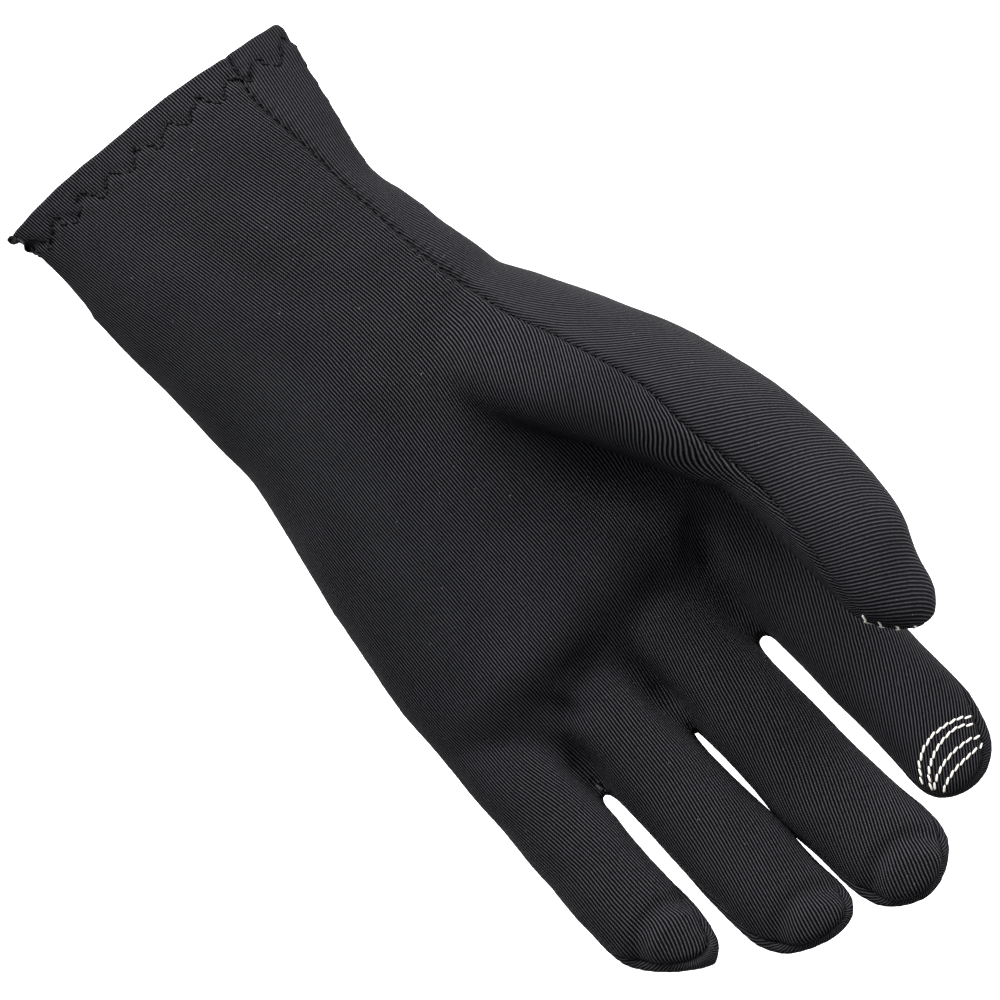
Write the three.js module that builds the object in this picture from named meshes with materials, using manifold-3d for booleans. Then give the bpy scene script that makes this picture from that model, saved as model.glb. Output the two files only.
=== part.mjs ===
// A glove liner for the left hand, of thin stretch cloth, in the shape that it has on a hand, palm up.
// It is cut as two panels, a palm and a back, joined by one seam that runs from the cuff up the wrist,
// round the thumb and all four fingers, and down the little finger's side to the cuff again.
// Millimetres. +X runs from the cuff to the fingertips, +Y to the thumb, and +Z out of the palm.
// The origin is the middle of the cuff's mouth, where the hand goes in.
import * as THREE from "three";
import { mergeVertices } from "three/addons/utils/BufferGeometryUtils.js";
import Module from "manifold-3d";

const CLOTH = 1.2; // thickness of the cloth
const HEM_WIDTH = 8.5; // how far the hem is turned in
const HEM_LAYERS = 2;
const SEAM_GAP = 0.3; // between the two panels
const KNUCKLES = 150; // the X where the fingers start to curl
const WEB = 141; // the X of the web between thumb and index finger
const WEB_HEIGHT = 8; // the Z of the seam at the web
const WEB_SIDE = 38; // the Y where the seam's upright part stands at the web
const WEB_RISE = { from: 24, to: 36 }; // the Y over which the seam rises to the web
const WEB_FADE = { from: 2, to: 26 }; // how far past the web it sinks back
const THUMB_TURN = { from: 88, to: 112 }; // the X over which the seam leaves the wrist for the thumb
const TIP_RISE = { from: 26, to: 8 }; // how far before a fingertip the seam's rise starts and ends
const CUFF_END = -14; // clear of the glove before the cuff
const FINGER_END = 275; // and past the fingertips
const THUMB_END = 222; // and past the thumb
const FAR = 90; // and all round
const SPINE_HEIGHT = 3; // the Z of the seam's spine under the wrist
const SLICE = 8; // from one slice of the seam's region to the next
const STEP = 20; // longest stretch between two sections of a tube
const HAND_SIDES = 30; // points round each section
const FINGER_SIDES = 14;
const THUMB_SIDES = 18;

// Each tube is a row of sections that stand across X. A section's side points are `wide` away from its
// centre (y, z), its palm side is `up` above it and its back is `down` below it. `full` squares its
// width and `round` its sides: 2 and 2 is an ellipse, and a round of 1 brings the sides to an edge.
// `lean` moves the side points along X, per millimetre of width, and `bow` moves the middle towards the
// cuff.
const HAND = [
  { x: -0.4, y: -0.2, wide: 41.9, up: 7, down: 7.5, full: 2.3, round: 1.15, lean: 0.096, bow: 2 },
  { x: 5, y: 0.1, wide: 40.9, up: 8.5, down: 9, full: 2.3, round: 1.15, lean: 0.09, bow: 1.4 },
  { x: 14, y: -0.1, wide: 39.8, up: 11, down: 11, full: 2.3, round: 1.25, lean: 0.07, bow: 0.5 },
  { x: 28, y: -2.3, wide: 38.8, up: 14, down: 13, full: 2.3, round: 1.4, lean: 0.04, bow: 0 },
  { x: 43, y: -3.8, wide: 36.9, up: 16, down: 15, full: 2.3, round: 1.6, lean: 0, bow: 0 },
  { x: 52, y: -2.9, wide: 37.6, up: 16.5, down: 16, full: 2.3, round: 1.8, lean: 0, bow: 0 },
  { x: 66, y: -1.9, wide: 38.6, up: 17.5, down: 17, full: 2.3, round: 1.9, lean: 0, bow: 0 },
  { x: 80, y: -0.8, wide: 39.8, up: 18.5, down: 18, full: 2.4, round: 2, lean: 0, bow: 0 },
  { x: 100, y: -2.4, wide: 42.5, up: 19, down: 18.5, full: 2.6, round: 2, lean: 0, bow: 0 },
  { x: 120, y: -4, wide: 45.1, up: 18, down: 18.5, full: 2.7, round: 2, lean: 0, bow: 0 },
  { x: 140, y: -5.4, wide: 47.2, up: 16.5, down: 17.5, full: 2.8, round: 2, lean: 0, bow: 0 },
  { x: 154, y: -5.2, wide: 48.7, up: 15, down: 16.5, full: 3, round: 2, lean: 0, bow: 0 },
  { x: 164, y: -4.3, wide: 50, up: 12.5, down: 15.5, full: 3, round: 2, lean: 0, bow: 0 },
  { x: 173, y: -3.7, wide: 50.6, up: 9.5, down: 13.5, full: 3, round: 2, lean: 0, bow: 0 },
  { x: 181, y: -3.4, wide: 50, up: 7.5, down: 10, full: 3, round: 2, lean: 0, bow: 0 },
  { x: 187, y: -3, wide: 48, up: 5.5, down: 6, full: 3, round: 2, lean: 0, bow: 0 },
  { x: 190, y: -3, wide: 44, up: 3.5, down: 1.5, full: 3, round: 2, lean: 0, bow: 0 },
];
// Soft hollows pressed into the palm side, and a crest that stands up from it. Each fades out from its
// middle over `long` and `wide`, turned in degrees from +X, and is `deep` at the middle.
const HOLLOWS = [
  { name: "beside_thumb", x: 138, y: 27, long: 20, wide: 9, deep: 3.5, turn: 32 },
  { name: "finger_roots", x: 165, y: -6, long: 5, wide: 48, deep: 2.6, turn: 3 },
  { name: "cupped_palm", x: 128, y: 2, long: 26, wide: 22, deep: 2.6, turn: 12 },
  { name: "palm_crest", x: 154, y: -24, long: 6, wide: 22, deep: -1.4, turn: 4 },
  { name: "wrist_fold", x: 36, y: -9, long: 22, wide: 6, deep: 1.2, turn: 24 },
];
// The fingers share a curl, so a row needs no height. `lift` raises the seam at the fingertip to the
// palm side, and `skew` tips it: a plus sign raises it on the thumb's side.
const FINGERS = [
  {
    name: "little", middle: -44.5, curl: 0.0026, lift: 2.4, skew: -1.2,
    rows: [
      { x: 140, y: -41, wide: 9, up: 6, down: 10 },
      { x: 163, y: -42.7, wide: 11.6, up: 9, down: 12 },
      { x: 180, y: -43.6, wide: 11.7, up: 10, down: 11.2 },
      { x: 200, y: -44.9, wide: 11.7, up: 9.6, down: 10.4 },
      { x: 212, y: -45.2, wide: 11.6, up: 9, down: 9.8 },
      { x: 222, y: -44.9, wide: 11.1, up: 7.4, down: 8.8 },
      { x: 226.8, y: -43.8, wide: 9.8, up: 5.8, down: 7.6 },
      { x: 230.4, y: -42.4, wide: 8.1, up: 4.8, down: 6.4 },
      { x: 234.2, y: -40.4, wide: 5.4, up: 3.4, down: 4.4 },
      { x: 237.4, y: -40, wide: 1.6, up: 1.2, down: 1.6 },
    ],
  },
  {
    name: "ring", middle: -18, curl: 0.0023, lift: 2.2, skew: -0.8,
    rows: [
      { x: 140, y: -17, wide: 9, up: 6, down: 11 },
      { x: 163, y: -17.4, wide: 11.6, up: 9.4, down: 13 },
      { x: 180, y: -17.8, wide: 12, up: 10.8, down: 12 },
      { x: 200, y: -18.1, wide: 12.1, up: 10.4, down: 11 },
      { x: 215, y: -18.3, wide: 12.3, up: 10, down: 10.4 },
      { x: 230, y: -18.3, wide: 12.3, up: 9, down: 9.8 },
      { x: 238.2, y: -18, wide: 12.2, up: 7.4, down: 8.8 },
      { x: 243.8, y: -17, wide: 11.6, up: 6, down: 7.4 },
      { x: 248, y: -15.4, wide: 9.6, up: 4.6, down: 5.8 },
      { x: 250.6, y: -13.2, wide: 5.8, up: 3, down: 3.8 },
      { x: 252, y: -12.2, wide: 1.8, up: 1.2, down: 1.6 },
    ],
  },
  {
    name: "middle", middle: 7.8, curl: 0.002, lift: 1.6, skew: 0,
    rows: [
      { x: 140, y: 8, wide: 9, up: 6, down: 11 },
      { x: 163, y: 7.6, wide: 11.8, up: 9.6, down: 13.4 },
      { x: 180, y: 7.5, wide: 12.3, up: 11, down: 12.4 },
      { x: 200, y: 7.5, wide: 12.4, up: 10.8, down: 11.4 },
      { x: 220, y: 7.6, wide: 12.5, up: 10.4, down: 10.6 },
      { x: 238.4, y: 8, wide: 12.7, up: 9, down: 9.8 },
      { x: 247.9, y: 8.4, wide: 12.7, up: 7.2, down: 8.6 },
      { x: 253.5, y: 8.7, wide: 11.5, up: 5.8, down: 7 },
      { x: 257.2, y: 8.8, wide: 8, up: 4.2, down: 5 },
      { x: 259.3, y: 8.8, wide: 4.2, up: 2.4, down: 3 },
      { x: 260.2, y: 8.8, wide: 1.4, up: 1, down: 1.4 },
    ],
  },
  {
    name: "index", middle: 36, curl: 0.0018, lift: 1.2, skew: 1.2,
    rows: [
      { x: 140, y: 31, wide: 9, up: 5, down: 11 },
      { x: 163, y: 34.6, wide: 11.6, up: 9.4, down: 12.6 },
      { x: 180, y: 35.6, wide: 12.3, up: 10.8, down: 11.8 },
      { x: 200, y: 36, wide: 12.4, up: 10.4, down: 10.8 },
      { x: 218, y: 36, wide: 12.4, up: 9.6, down: 10.2 },
      { x: 232, y: 36, wide: 12.2, up: 8.2, down: 9.2 },
      { x: 238.6, y: 35, wide: 11.6, up: 6.8, down: 8 },
      { x: 243.8, y: 34.3, wide: 10.2, up: 5.4, down: 6.6 },
      { x: 247.1, y: 34.2, wide: 7.4, up: 3.8, down: 4.8 },
      { x: 248.7, y: 34.4, wide: 4.2, up: 2.4, down: 3 },
      { x: 249.4, y: 34.6, wide: 1.4, up: 1, down: 1.4 },
    ],
  },
];
// The thumb's sections are turned by `roll` degrees, and its `up` side is its back. `front` and `rear`
// are the directions from its centre to its two seams, in degrees from +Z towards +Y.
const THUMB = [
  { x: 72, y: 14, z: 0, wide: 19, up: 12, down: 12, roll: 0, front: 50, rear: 198 },
  { x: 90, y: 22.4, z: 4, wide: 21.6, up: 15, down: 14, roll: 10, front: 45, rear: 198 },
  { x: 108, y: 31.9, z: 9.5, wide: 21.2, up: 17.5, down: 15, roll: 22, front: 19, rear: 198 },
  { x: 126, y: 41, z: 15.5, wide: 19.5, up: 17.5, down: 15.5, roll: 32, front: 4, rear: 198 },
  { x: 143, y: 47.4, z: 22.5, wide: 17, up: 16.5, down: 15.5, roll: 40, front: -16, rear: 192 },
  { x: 160, y: 52, z: 30, wide: 14.8, up: 14, down: 11.8, roll: 46, front: -30, rear: 176 },
  { x: 176, y: 52.8, z: 35.6, wide: 14.6, up: 13, down: 11.4, roll: 48, front: -40, rear: 160 },
  { x: 190, y: 51.8, z: 39.6, wide: 14, up: 12, down: 10.8, roll: 50, front: -48, rear: 150 },
  { x: 200, y: 50.2, z: 42, wide: 12, up: 9, down: 8.6, roll: 50, front: -54, rear: 145 },
  { x: 207, y: 50.9, z: 43.6, wide: 8.8, up: 6.4, down: 6, roll: 50, front: -56, rear: 142 },
  { x: 210.6, y: 51.4, z: 44.4, wide: 5, up: 3.8, down: 3.6, roll: 50, front: -56, rear: 142 },
  { x: 212.6, y: 51.6, z: 44.8, wide: 1.5, up: 1.2, down: 1.2, roll: 50, front: -56, rear: 142 },
];
// The seam's line over the wrist, seen from the palm side.
const WRIST_SEAM = [
  { x: -12, y: 27.5 },
  { x: 2, y: 26.4 },
  { x: 14, y: 24 },
  { x: 30, y: 25.2 },
  { x: 50, y: 26 },
  { x: 70, y: 27.8 },
  { x: 88, y: 31 },
  { x: 108, y: 34 },
];

const wasm = await Module();
wasm.setup();

const degrees = THREE.MathUtils.degToRad;
const { lerp, clamp, smoothstep } = THREE.MathUtils;

// A table's row at any x, by a smooth curve through each of its columns.
function rowAt(rows, x) {
  const last = rows.length - 1;
  const i = clamp(rows.findLastIndex((row) => row.x <= x), 0, last - 1);
  const [from, to] = [rows[i], rows[i + 1]];
  const [before, after] = [rows[Math.max(i - 1, 0)], rows[Math.min(i + 2, last)]];
  const span = to.x - from.x;
  const t = clamp((x - from.x) / span, 0, 1);
  const mixed = { x };
  for (const key of Object.keys(from).filter((name) => name !== "x")) {
    const leave = (span * (to[key] - before[key])) / (to.x - before.x);
    const arrive = (span * (after[key] - from[key])) / (after.x - from.x);
    const change = to[key] - from[key];
    const bend = 3 * change - 2 * leave - arrive + t * (leave + arrive - 2 * change);
    mixed[key] = from[key] + t * (leave + t * bend);
  }
  return mixed;
}

// The table with rows added where two of them are more than STEP apart.
function withSteps(rows) {
  const filled = rows.slice(0, -1).flatMap((row, i) => {
    const span = rows[i + 1].x - row.x;
    const parts = Math.ceil(span / STEP);
    return Array.from({ length: parts }, (_, k) => rowAt(rows, row.x + (span * k) / parts));
  });
  return [...filled, rows.at(-1)];
}

// The points round one section, inset by the cloth's thickness for the inside of the glove.
function sectionPoints(row, sides, inset) {
  const { x, y, z = 0, full = 2.2, round = 2, lean = 0, bow = 0, roll = 0 } = row;
  const [wide, up, down] = [row.wide, row.up, row.down].map((size) => Math.max(size - inset, 0.4));
  const [c, s] = [Math.cos(degrees(roll)), Math.sin(degrees(roll))];
  return Array.from({ length: sides }, (_, i) => {
    const angle = (2 * Math.PI * i) / sides;
    const [a, b] = [Math.cos(angle), Math.sin(angle)];
    const across = wide * Math.sign(a) * Math.abs(a) ** (2 / full);
    const above = (b > 0 ? up : -down) * Math.abs(b) ** (2 / round);
    const along = x + lean * across - bow * (1 - (across / wide) ** 2);
    return new THREE.Vector3(along, y + across * c + above * s, z - across * s + above * c);
  });
}

// How far the palm's hollows press the cloth down at a point.
function hollowAt(x, y) {
  return HOLLOWS.reduce((sum, hollow) => {
    const [c, s] = [Math.cos(degrees(hollow.turn)), Math.sin(degrees(hollow.turn))];
    const along = ((x - hollow.x) * c + (y - hollow.y) * s) / hollow.long;
    const across = ((y - hollow.y) * c - (x - hollow.x) * s) / hollow.wide;
    return sum + hollow.deep * Math.exp(-(along ** 2) - across ** 2);
  }, 0);
}

// A closed surface through rings of points, with a fan over each end.
function loft(rings) {
  const sides = rings[0].length;
  const centre = (ring) => ring.reduce((sum, p) => sum.add(p), new THREE.Vector3()).divideScalar(sides);
  const points = [...rings.flat(), centre(rings[0]), centre(rings.at(-1))];
  const [startPole, endPole] = [points.length - 2, points.length - 1];
  const lastRing = (rings.length - 1) * sides;
  const faces = [];
  for (let i = 0; i < sides; i++) {
    const next = (i + 1) % sides;
    for (let base = 0; base < lastRing; base += sides) {
      const [a, b, c, d] = [base + i, base + next, base + sides + next, base + sides + i];
      faces.push(a, b, d, b, c, d);
    }
    faces.push(startPole, next, i, endPole, lastRing + i, lastRing + next);
  }
  return new THREE.BufferGeometry().setFromPoints(points).setIndex(faces);
}

function toManifold(geometry) {
  const merged = mergeVertices(geometry, 1e-4);
  return new wasm.Manifold(
    new wasm.Mesh({
      numProp: 3,
      vertProperties: new Float32Array(merged.attributes.position.array),
      triVerts: new Uint32Array(merged.index.array),
    }),
  );
}

function toGeometry(solid) {
  const mesh = solid.getMesh();
  const geometry = new THREE.BufferGeometry();
  geometry.setAttribute("position", new THREE.BufferAttribute(mesh.vertProperties, 3));
  geometry.setIndex(new THREE.BufferAttribute(mesh.triVerts, 1));
  return geometry;
}

// Height that the curl gives a finger at x.
const curled = (x, curl) => curl * Math.max(0, x - KNUCKLES) ** 2;

function fingerSolid(finger, inset) {
  const root = finger.rows[0].x;
  const tip = finger.rows.at(-1).x;
  const shorter = (tip - inset - root) / (tip - root);
  const rings = withSteps(finger.rows).map((row) => {
    const placed = { ...row, x: root + (row.x - root) * shorter, z: curled(row.x, finger.curl) };
    return sectionPoints(placed, FINGER_SIDES, inset);
  });
  return toManifold(loft(rings));
}

function thumbSolid(inset) {
  const rows = THUMB.map((row, i) => ({ ...row, x: row.x - (inset * i) / (THUMB.length - 1) }));
  return toManifold(loft(withSteps(rows).map((row) => sectionPoints(row, THUMB_SIDES, inset))));
}

// The sections from the cuff to the roots of the fingers. Inside, they run out through the mouth, and
// the cloth is doubled where the hem is turned in.
function handSolid(inset) {
  const mouth = HAND[0];
  const hemEnd = mouth.x + HEM_WIDTH;
  const rows = withSteps(HAND);
  const inner = [
    { ...mouth, x: mouth.x - 2 * CLOTH, layers: HEM_LAYERS },
    { ...rowAt(HAND, hemEnd), layers: HEM_LAYERS },
    { ...rowAt(HAND, hemEnd + CLOTH / 4), layers: 1 },
    ...rows.filter((row) => row.x > hemEnd + CLOTH).map((row) => ({ ...row, layers: 1 })),
  ];
  const rings = (inset ? inner : rows).map((row) => {
    const points = sectionPoints(row, HAND_SIDES, inset * (row.layers ?? 1));
    const palmSide = (point) => clamp(point.z / 4, 0, 1);
    return points.map((p) => p.setZ(p.z - palmSide(p) * hollowAt(p.x, p.y)));
  });
  return toManifold(loft(rings));
}

// The whole glove's form, and the same form inset by the cloth.
function gloveForm(inset) {
  const tubes = [thumbSolid(inset), ...FINGERS.map((finger) => fingerSolid(finger, inset))];
  return tubes.reduce((sum, tube) => sum.add(tube), handSolid(inset));
}

// Height of the seam through the palm and the fingers.
function seamHeight(x, y) {
  const heightOf = (finger) => {
    const row = rowAt(finger.rows, x);
    const tip = finger.rows.at(-1).x;
    const aside = clamp((y - row.y) / 10, -1, 1);
    const nearTip = smoothstep(x, tip - TIP_RISE.from, tip - TIP_RISE.to);
    return curled(x, finger.curl) + nearTip * (finger.lift + finger.skew * aside);
  };
  const above = FINGERS.findIndex((finger) => finger.middle > y);
  const high = FINGERS.at(above);
  const low = FINGERS[Math.max(above - 1, 0)];
  const share = above > 0 ? smoothstep((y - low.middle) / (high.middle - low.middle), 0.35, 0.65) : 1;
  const pastWeb = smoothstep(x, WEB + WEB_FADE.from, WEB + WEB_FADE.to);
  const nearWeb = smoothstep(y, WEB_RISE.from, WEB_RISE.to) * (1 - pastWeb);
  return lerp(lerp(heightOf(low), heightOf(high), share), WEB_HEIGHT, nearWeb);
}

// The spine is the line inside the glove that the seam is cut out from: over the wrist it lies under the
// seam, and past it in the thumb. Its foot stands on the sheet through the palm.
function spineAt(x) {
  const thumb = rowAt(THUMB, x);
  const share = smoothstep(x, THUMB_TURN.from, THUMB_TURN.to);
  const y = lerp(rowAt(WRIST_SEAM, x).y, thumb.y, share);
  return {
    y,
    z: lerp(SPINE_HEIGHT, thumb.z, share),
    foot: lerp(y, WEB_SIDE, smoothstep(x, THUMB_TURN.to, WEB)),
    front: degrees(lerp(0, thumb.front, share)),
    rear: degrees(thumb.rear),
    reach: thumb.wide + 2.5 * CLOTH,
  };
}

function stations(from, to, step) {
  const count = Math.ceil((to - from) / step);
  return Array.from({ length: count + 1 }, (_, i) => from + ((to - from) * i) / count);
}

// The region that holds the back panel, grown by `grow` past the seam. It is all that lies under the
// palm's sheet, and over the wrist and thumb what lies outside the spine. Up to the web its slices
// stand on the palm's sheet, and past it they go round the thumb alone.
function backRegion(grow) {
  const underPalm = stations(CUFF_END, FINGER_END, SLICE).map((x) => {
    const top = stations(FAR, -FAR, -SLICE).map((y) => new THREE.Vector3(x, y, seamHeight(x, y) + grow));
    return [new THREE.Vector3(x, FAR, -FAR), ...top, new THREE.Vector3(x, -FAR, -FAR)];
  });
  const slice = (x, kind) => {
    const spine = spineAt(x);
    const ray = (angle, reach) => [spine.y + reach * Math.sin(angle), spine.z + reach * Math.cos(angle)];
    const [rearY, rearZ] = ray(spine.rear, spine.reach);
    const [frontY, frontZ] = ray(spine.front, FAR / 3);
    const below = {
      wrist: [[spine.foot, seamHeight(x, spine.foot)], [spine.foot, -FAR], [FAR, -FAR]],
      thumb: [[rearY, rearZ], [rearY, rearZ], [FAR, rearZ]],
    };
    const [first, second, corner] = below[kind];
    const inner = [[frontY, frontZ], [spine.y, spine.z], first, second];
    const outline = [corner, [FAR, FAR], ...inner.map(([y, z]) => [y - grow, z - grow])];
    return outline.map(([y, z]) => new THREE.Vector3(x, y, z));
  };
  const wrist = stations(CUFF_END, WEB + grow, SLICE).map((x) => slice(x, "wrist"));
  const thumb = stations(WEB - SLICE / 2, THUMB_END, SLICE).map((x) => slice(x, "thumb"));
  return [underPalm, wrist, thumb].map((rings) => toManifold(loft(rings))).reduce((a, b) => a.add(b));
}

const shell = gloveForm(0).subtract(gloveForm(CLOTH));
const panels = {
  palm_panel: shell.subtract(backRegion(SEAM_GAP / 2)),
  back_panel: shell.intersect(backRegion(-SEAM_GAP / 2)),
};

const glove = new THREE.Group();
for (const [name, solid] of Object.entries(panels)) {
  const cloth = new THREE.MeshStandardMaterial({ color: 0x1c1d20, roughness: 0.75, metalness: 0 });
  const mesh = new THREE.Mesh(toGeometry(solid), cloth);
  mesh.name = name;
  glove.add(mesh);
}

export default glove;
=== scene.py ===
# A black stretch-cloth glove liner for the left hand, palm up, in the shape that it has on a hand. Two
# panels of ribbed cloth meet at one running seam, a zigzag holds the turned-in hem, and arcs of pale
# thread mark the index fingertip and the thumb. Modelled in millimetres and placed in metres.
# +X runs from the cuff to the fingertips, +Y to the thumb, and +Z out of the palm.
import functools
import math
from typing import NamedTuple

import bmesh
import bpy
import numpy as np
from bpy.props import FloatProperty, FloatVectorProperty, PointerProperty
from mathutils import Matrix, Vector, noise
from mathutils.bvhtree import BVHTree
from mathutils.kdtree import KDTree


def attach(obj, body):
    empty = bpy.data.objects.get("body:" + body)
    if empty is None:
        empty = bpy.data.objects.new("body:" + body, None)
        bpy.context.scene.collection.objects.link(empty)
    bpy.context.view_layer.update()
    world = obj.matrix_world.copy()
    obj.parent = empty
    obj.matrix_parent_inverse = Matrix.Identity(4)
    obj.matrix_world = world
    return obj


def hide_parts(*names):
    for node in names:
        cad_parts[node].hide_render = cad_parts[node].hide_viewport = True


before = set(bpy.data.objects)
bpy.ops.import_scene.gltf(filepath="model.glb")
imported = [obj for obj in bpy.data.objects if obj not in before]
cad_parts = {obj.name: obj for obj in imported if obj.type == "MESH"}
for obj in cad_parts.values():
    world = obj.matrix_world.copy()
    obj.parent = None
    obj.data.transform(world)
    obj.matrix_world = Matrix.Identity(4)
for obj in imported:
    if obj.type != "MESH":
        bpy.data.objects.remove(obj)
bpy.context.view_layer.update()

bl_info = {
    "name": "Glove Liner",
    "version": (1, 0, 0),
    "blender": (4, 5, 0),
    "location": "3D View > Sidebar > Glove",
    "description": "Builds a sewn stretch-cloth glove liner and a plain studio for it",
    "category": "Add Mesh",
}

MM = 0.001
BODY = "root"


def table(columns, *rows):
    """A table as one array for each named column."""
    return {name: np.array(column, float) for name, column in zip(columns.split(), zip(*rows))}


# Sections of the hand from the cuff to the finger roots, across X. A section's side points are `wide`
# away from its middle, its palm side is `up` above it and its back `down` below. `full` squares its
# width and `round` its sides. `lean` and `bow` slant and curve the cuff's edge.
HAND = table(
    "x y wide up down full round lean bow",
    (-9, -0.5, 42.4, 7, 7.5, 2.3, 1.15, 0.096, 2),
    (-0.4, -0.2, 41.9, 7, 7.5, 2.3, 1.15, 0.096, 2),
    (5, 0.1, 40.9, 8.5, 9, 2.3, 1.15, 0.09, 1.4),
    (14, -0.1, 39.8, 11, 11, 2.3, 1.25, 0.07, 0.5),
    (28, -2.3, 38.8, 14, 13, 2.3, 1.4, 0.04, 0),
    (43, -3.8, 36.9, 16, 15, 2.3, 1.6, 0, 0),
    (52, -2.9, 37.6, 16.5, 16, 2.3, 1.8, 0, 0),
    (66, -1.9, 38.6, 17.5, 17, 2.3, 1.9, 0, 0),
    (80, -0.8, 39.8, 18.5, 18, 2.4, 2, 0, 0),
    (100, -2.4, 42.5, 19, 18.5, 2.6, 2, 0, 0),
    (120, -4, 45.1, 18, 18.5, 2.7, 2, 0, 0),
    (140, -5.4, 47.2, 16.5, 17.5, 2.8, 2, 0, 0),
    (154, -5.2, 48.7, 15, 16.5, 3, 2, 0, 0),
    (164, -4.3, 50, 12.5, 15.5, 3, 2, 0, 0),
    (173, -3.7, 50.6, 9.5, 13.5, 3, 2, 0, 0),
    (181, -3.4, 50, 7.5, 10, 3, 2, 0, 0),
    (187, -3, 48, 5.5, 6, 3, 2, 0, 0),
    (190, -3, 44, 3.5, 1.5, 3, 2, 0, 0),
)
MOUTH = {"x": -0.4, "y": -0.2, "wide": 41.9, "lean": 0.096, "bow": 2.0}

# The fingers share a curl. `lift` raises the seam at the fingertip to the palm side, and `skew` tips it.
FINGER_COLUMNS = "x y wide up down"
FINGERS = [
    {
        "name": "little", "middle": -44.5, "curl": 0.0026, "lift": 3.5, "skew": -0.6,
        "rows": table(
            FINGER_COLUMNS,
            (140, -41, 9, 6, 10), (163, -42.7, 11.6, 9, 12), (180, -43.6, 11.7, 10, 11.2),
            (200, -44.9, 11.7, 9.6, 10.4), (212, -45.2, 11.6, 9, 9.8), (222, -44.9, 11.1, 7.4, 8.8),
            (226.8, -43.8, 9.8, 5.8, 7.6), (230.4, -42.4, 8.1, 4.8, 6.4), (234.2, -40.4, 5.4, 3.4, 4.4),
            (237.4, -40, 1.6, 1.2, 1.6),
        ),
    },
    {
        "name": "ring", "middle": -18, "curl": 0.0023, "lift": 3.0, "skew": -0.4,
        "rows": table(
            FINGER_COLUMNS,
            (140, -17, 9, 6, 11), (163, -17.4, 11.6, 9.4, 13), (180, -17.8, 12, 10.8, 12),
            (200, -18.1, 12.1, 10.4, 11), (215, -18.3, 12.3, 10, 10.4), (230, -18.3, 12.3, 9, 9.8),
            (238.2, -18, 12.2, 7.4, 8.8), (243.8, -17, 11.6, 6, 7.4), (248, -15.4, 9.6, 4.6, 5.8),
            (250.6, -13.2, 5.8, 3, 3.8), (252, -12.2, 1.8, 1.2, 1.6),
        ),
    },
    {
        "name": "middle", "middle": 7.8, "curl": 0.002, "lift": 2.7, "skew": 0,
        "rows": table(
            FINGER_COLUMNS,
            (140, 8, 9, 6, 11), (163, 7.6, 11.8, 9.6, 13.4), (180, 7.5, 12.3, 11, 12.4),
            (200, 7.5, 12.4, 10.8, 11.4), (220, 7.6, 12.5, 10.4, 10.6), (238.4, 8, 12.7, 9, 9.8),
            (247.9, 8.4, 12.7, 7.2, 8.6), (253.5, 8.7, 11.5, 5.8, 7), (257.2, 8.8, 8, 4.2, 5),
            (259.3, 8.8, 4.2, 2.4, 3), (260.2, 8.8, 1.4, 1, 1.4),
        ),
    },
    {
        "name": "index", "middle": 36, "curl": 0.0018, "lift": 2.3, "skew": 1.8,
        "rows": table(
            FINGER_COLUMNS,
            (140, 31, 9, 5, 11), (163, 34.6, 11.6, 9.4, 12.6), (180, 35.6, 12.3, 10.8, 11.8),
            (200, 36, 12.4, 10.4, 10.8), (218, 36, 12.4, 9.6, 10.2), (232, 36, 12.2, 8.2, 9.2),
            (238.6, 35, 11.6, 6.8, 8), (243.8, 34.3, 10.2, 5.4, 6.6), (247.1, 34.2, 7.4, 3.8, 4.8),
            (248.7, 34.4, 4.2, 2.4, 3), (249.4, 34.6, 1.4, 1, 1.4),
        ),
    },
]
# The thumb's sections are turned by `roll` degrees, and its `up` side is its back. `front` and `rear`
# are the directions from its middle to its two seams, in degrees from +Z towards +Y.
THUMB = table(
    "x y z wide up down roll front rear",
    (72, 14, 0, 19, 12, 12, 0, 50, 198),
    (90, 22.4, 4, 21.6, 15, 14, 10, 45, 198),
    (108, 31.9, 9.5, 21.2, 17.5, 15, 22, 19, 198),
    (126, 41, 15.5, 19.5, 17.5, 15.5, 32, 4, 198),
    (143, 47.4, 22.5, 17, 16.5, 15.5, 40, -16, 192),
    (160, 52, 30, 14.8, 14, 11.8, 46, -30, 176),
    (176, 52.8, 35.6, 14.6, 13, 11.4, 48, -40, 160),
    (190, 51.8, 39.6, 14, 12, 10.8, 50, -48, 150),
    (200, 50.2, 42, 12, 9, 8.6, 50, -54, 145),
    (207, 50.9, 43.6, 8.8, 6.4, 6, 50, -56, 142),
    (210.6, 51.4, 44.4, 5, 3.8, 3.6, 50, -56, 142),
    (212.6, 51.6, 44.8, 1.5, 1.2, 1.2, 50, -56, 142),
)
# The seam's line over the wrist, seen from the palm side.
WRIST_SEAM = table(
    "x y",
    (-12, 27.5), (2, 26.4), (14, 24), (30, 25.2), (50, 26), (70, 27.8), (88, 31), (108, 34),
)
# Soft hollows pressed into the palm side, and a crest that stands up from it. Each fades out from its
# middle over `long` and `wide`, turned in degrees from +X, and is `deep` at the middle.
HOLLOWS = table(
    "x y long wide deep turn",
    (138, 27, 20, 9, 4.5, 32),  # beside the thumb
    (168, 0, 7, 34, 2.0, 3),  # finger roots
    (179, -9, 9, 28, 1.5, 0),  # gaps between the fingers
    (128, 2, 26, 22, 2.6, 12),  # cupped palm
    (156, -26, 8, 16, -2.2, 4),  # crest behind the roots
    (36, -9, 22, 6, 1.2, 24),  # wrist fold
)
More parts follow.
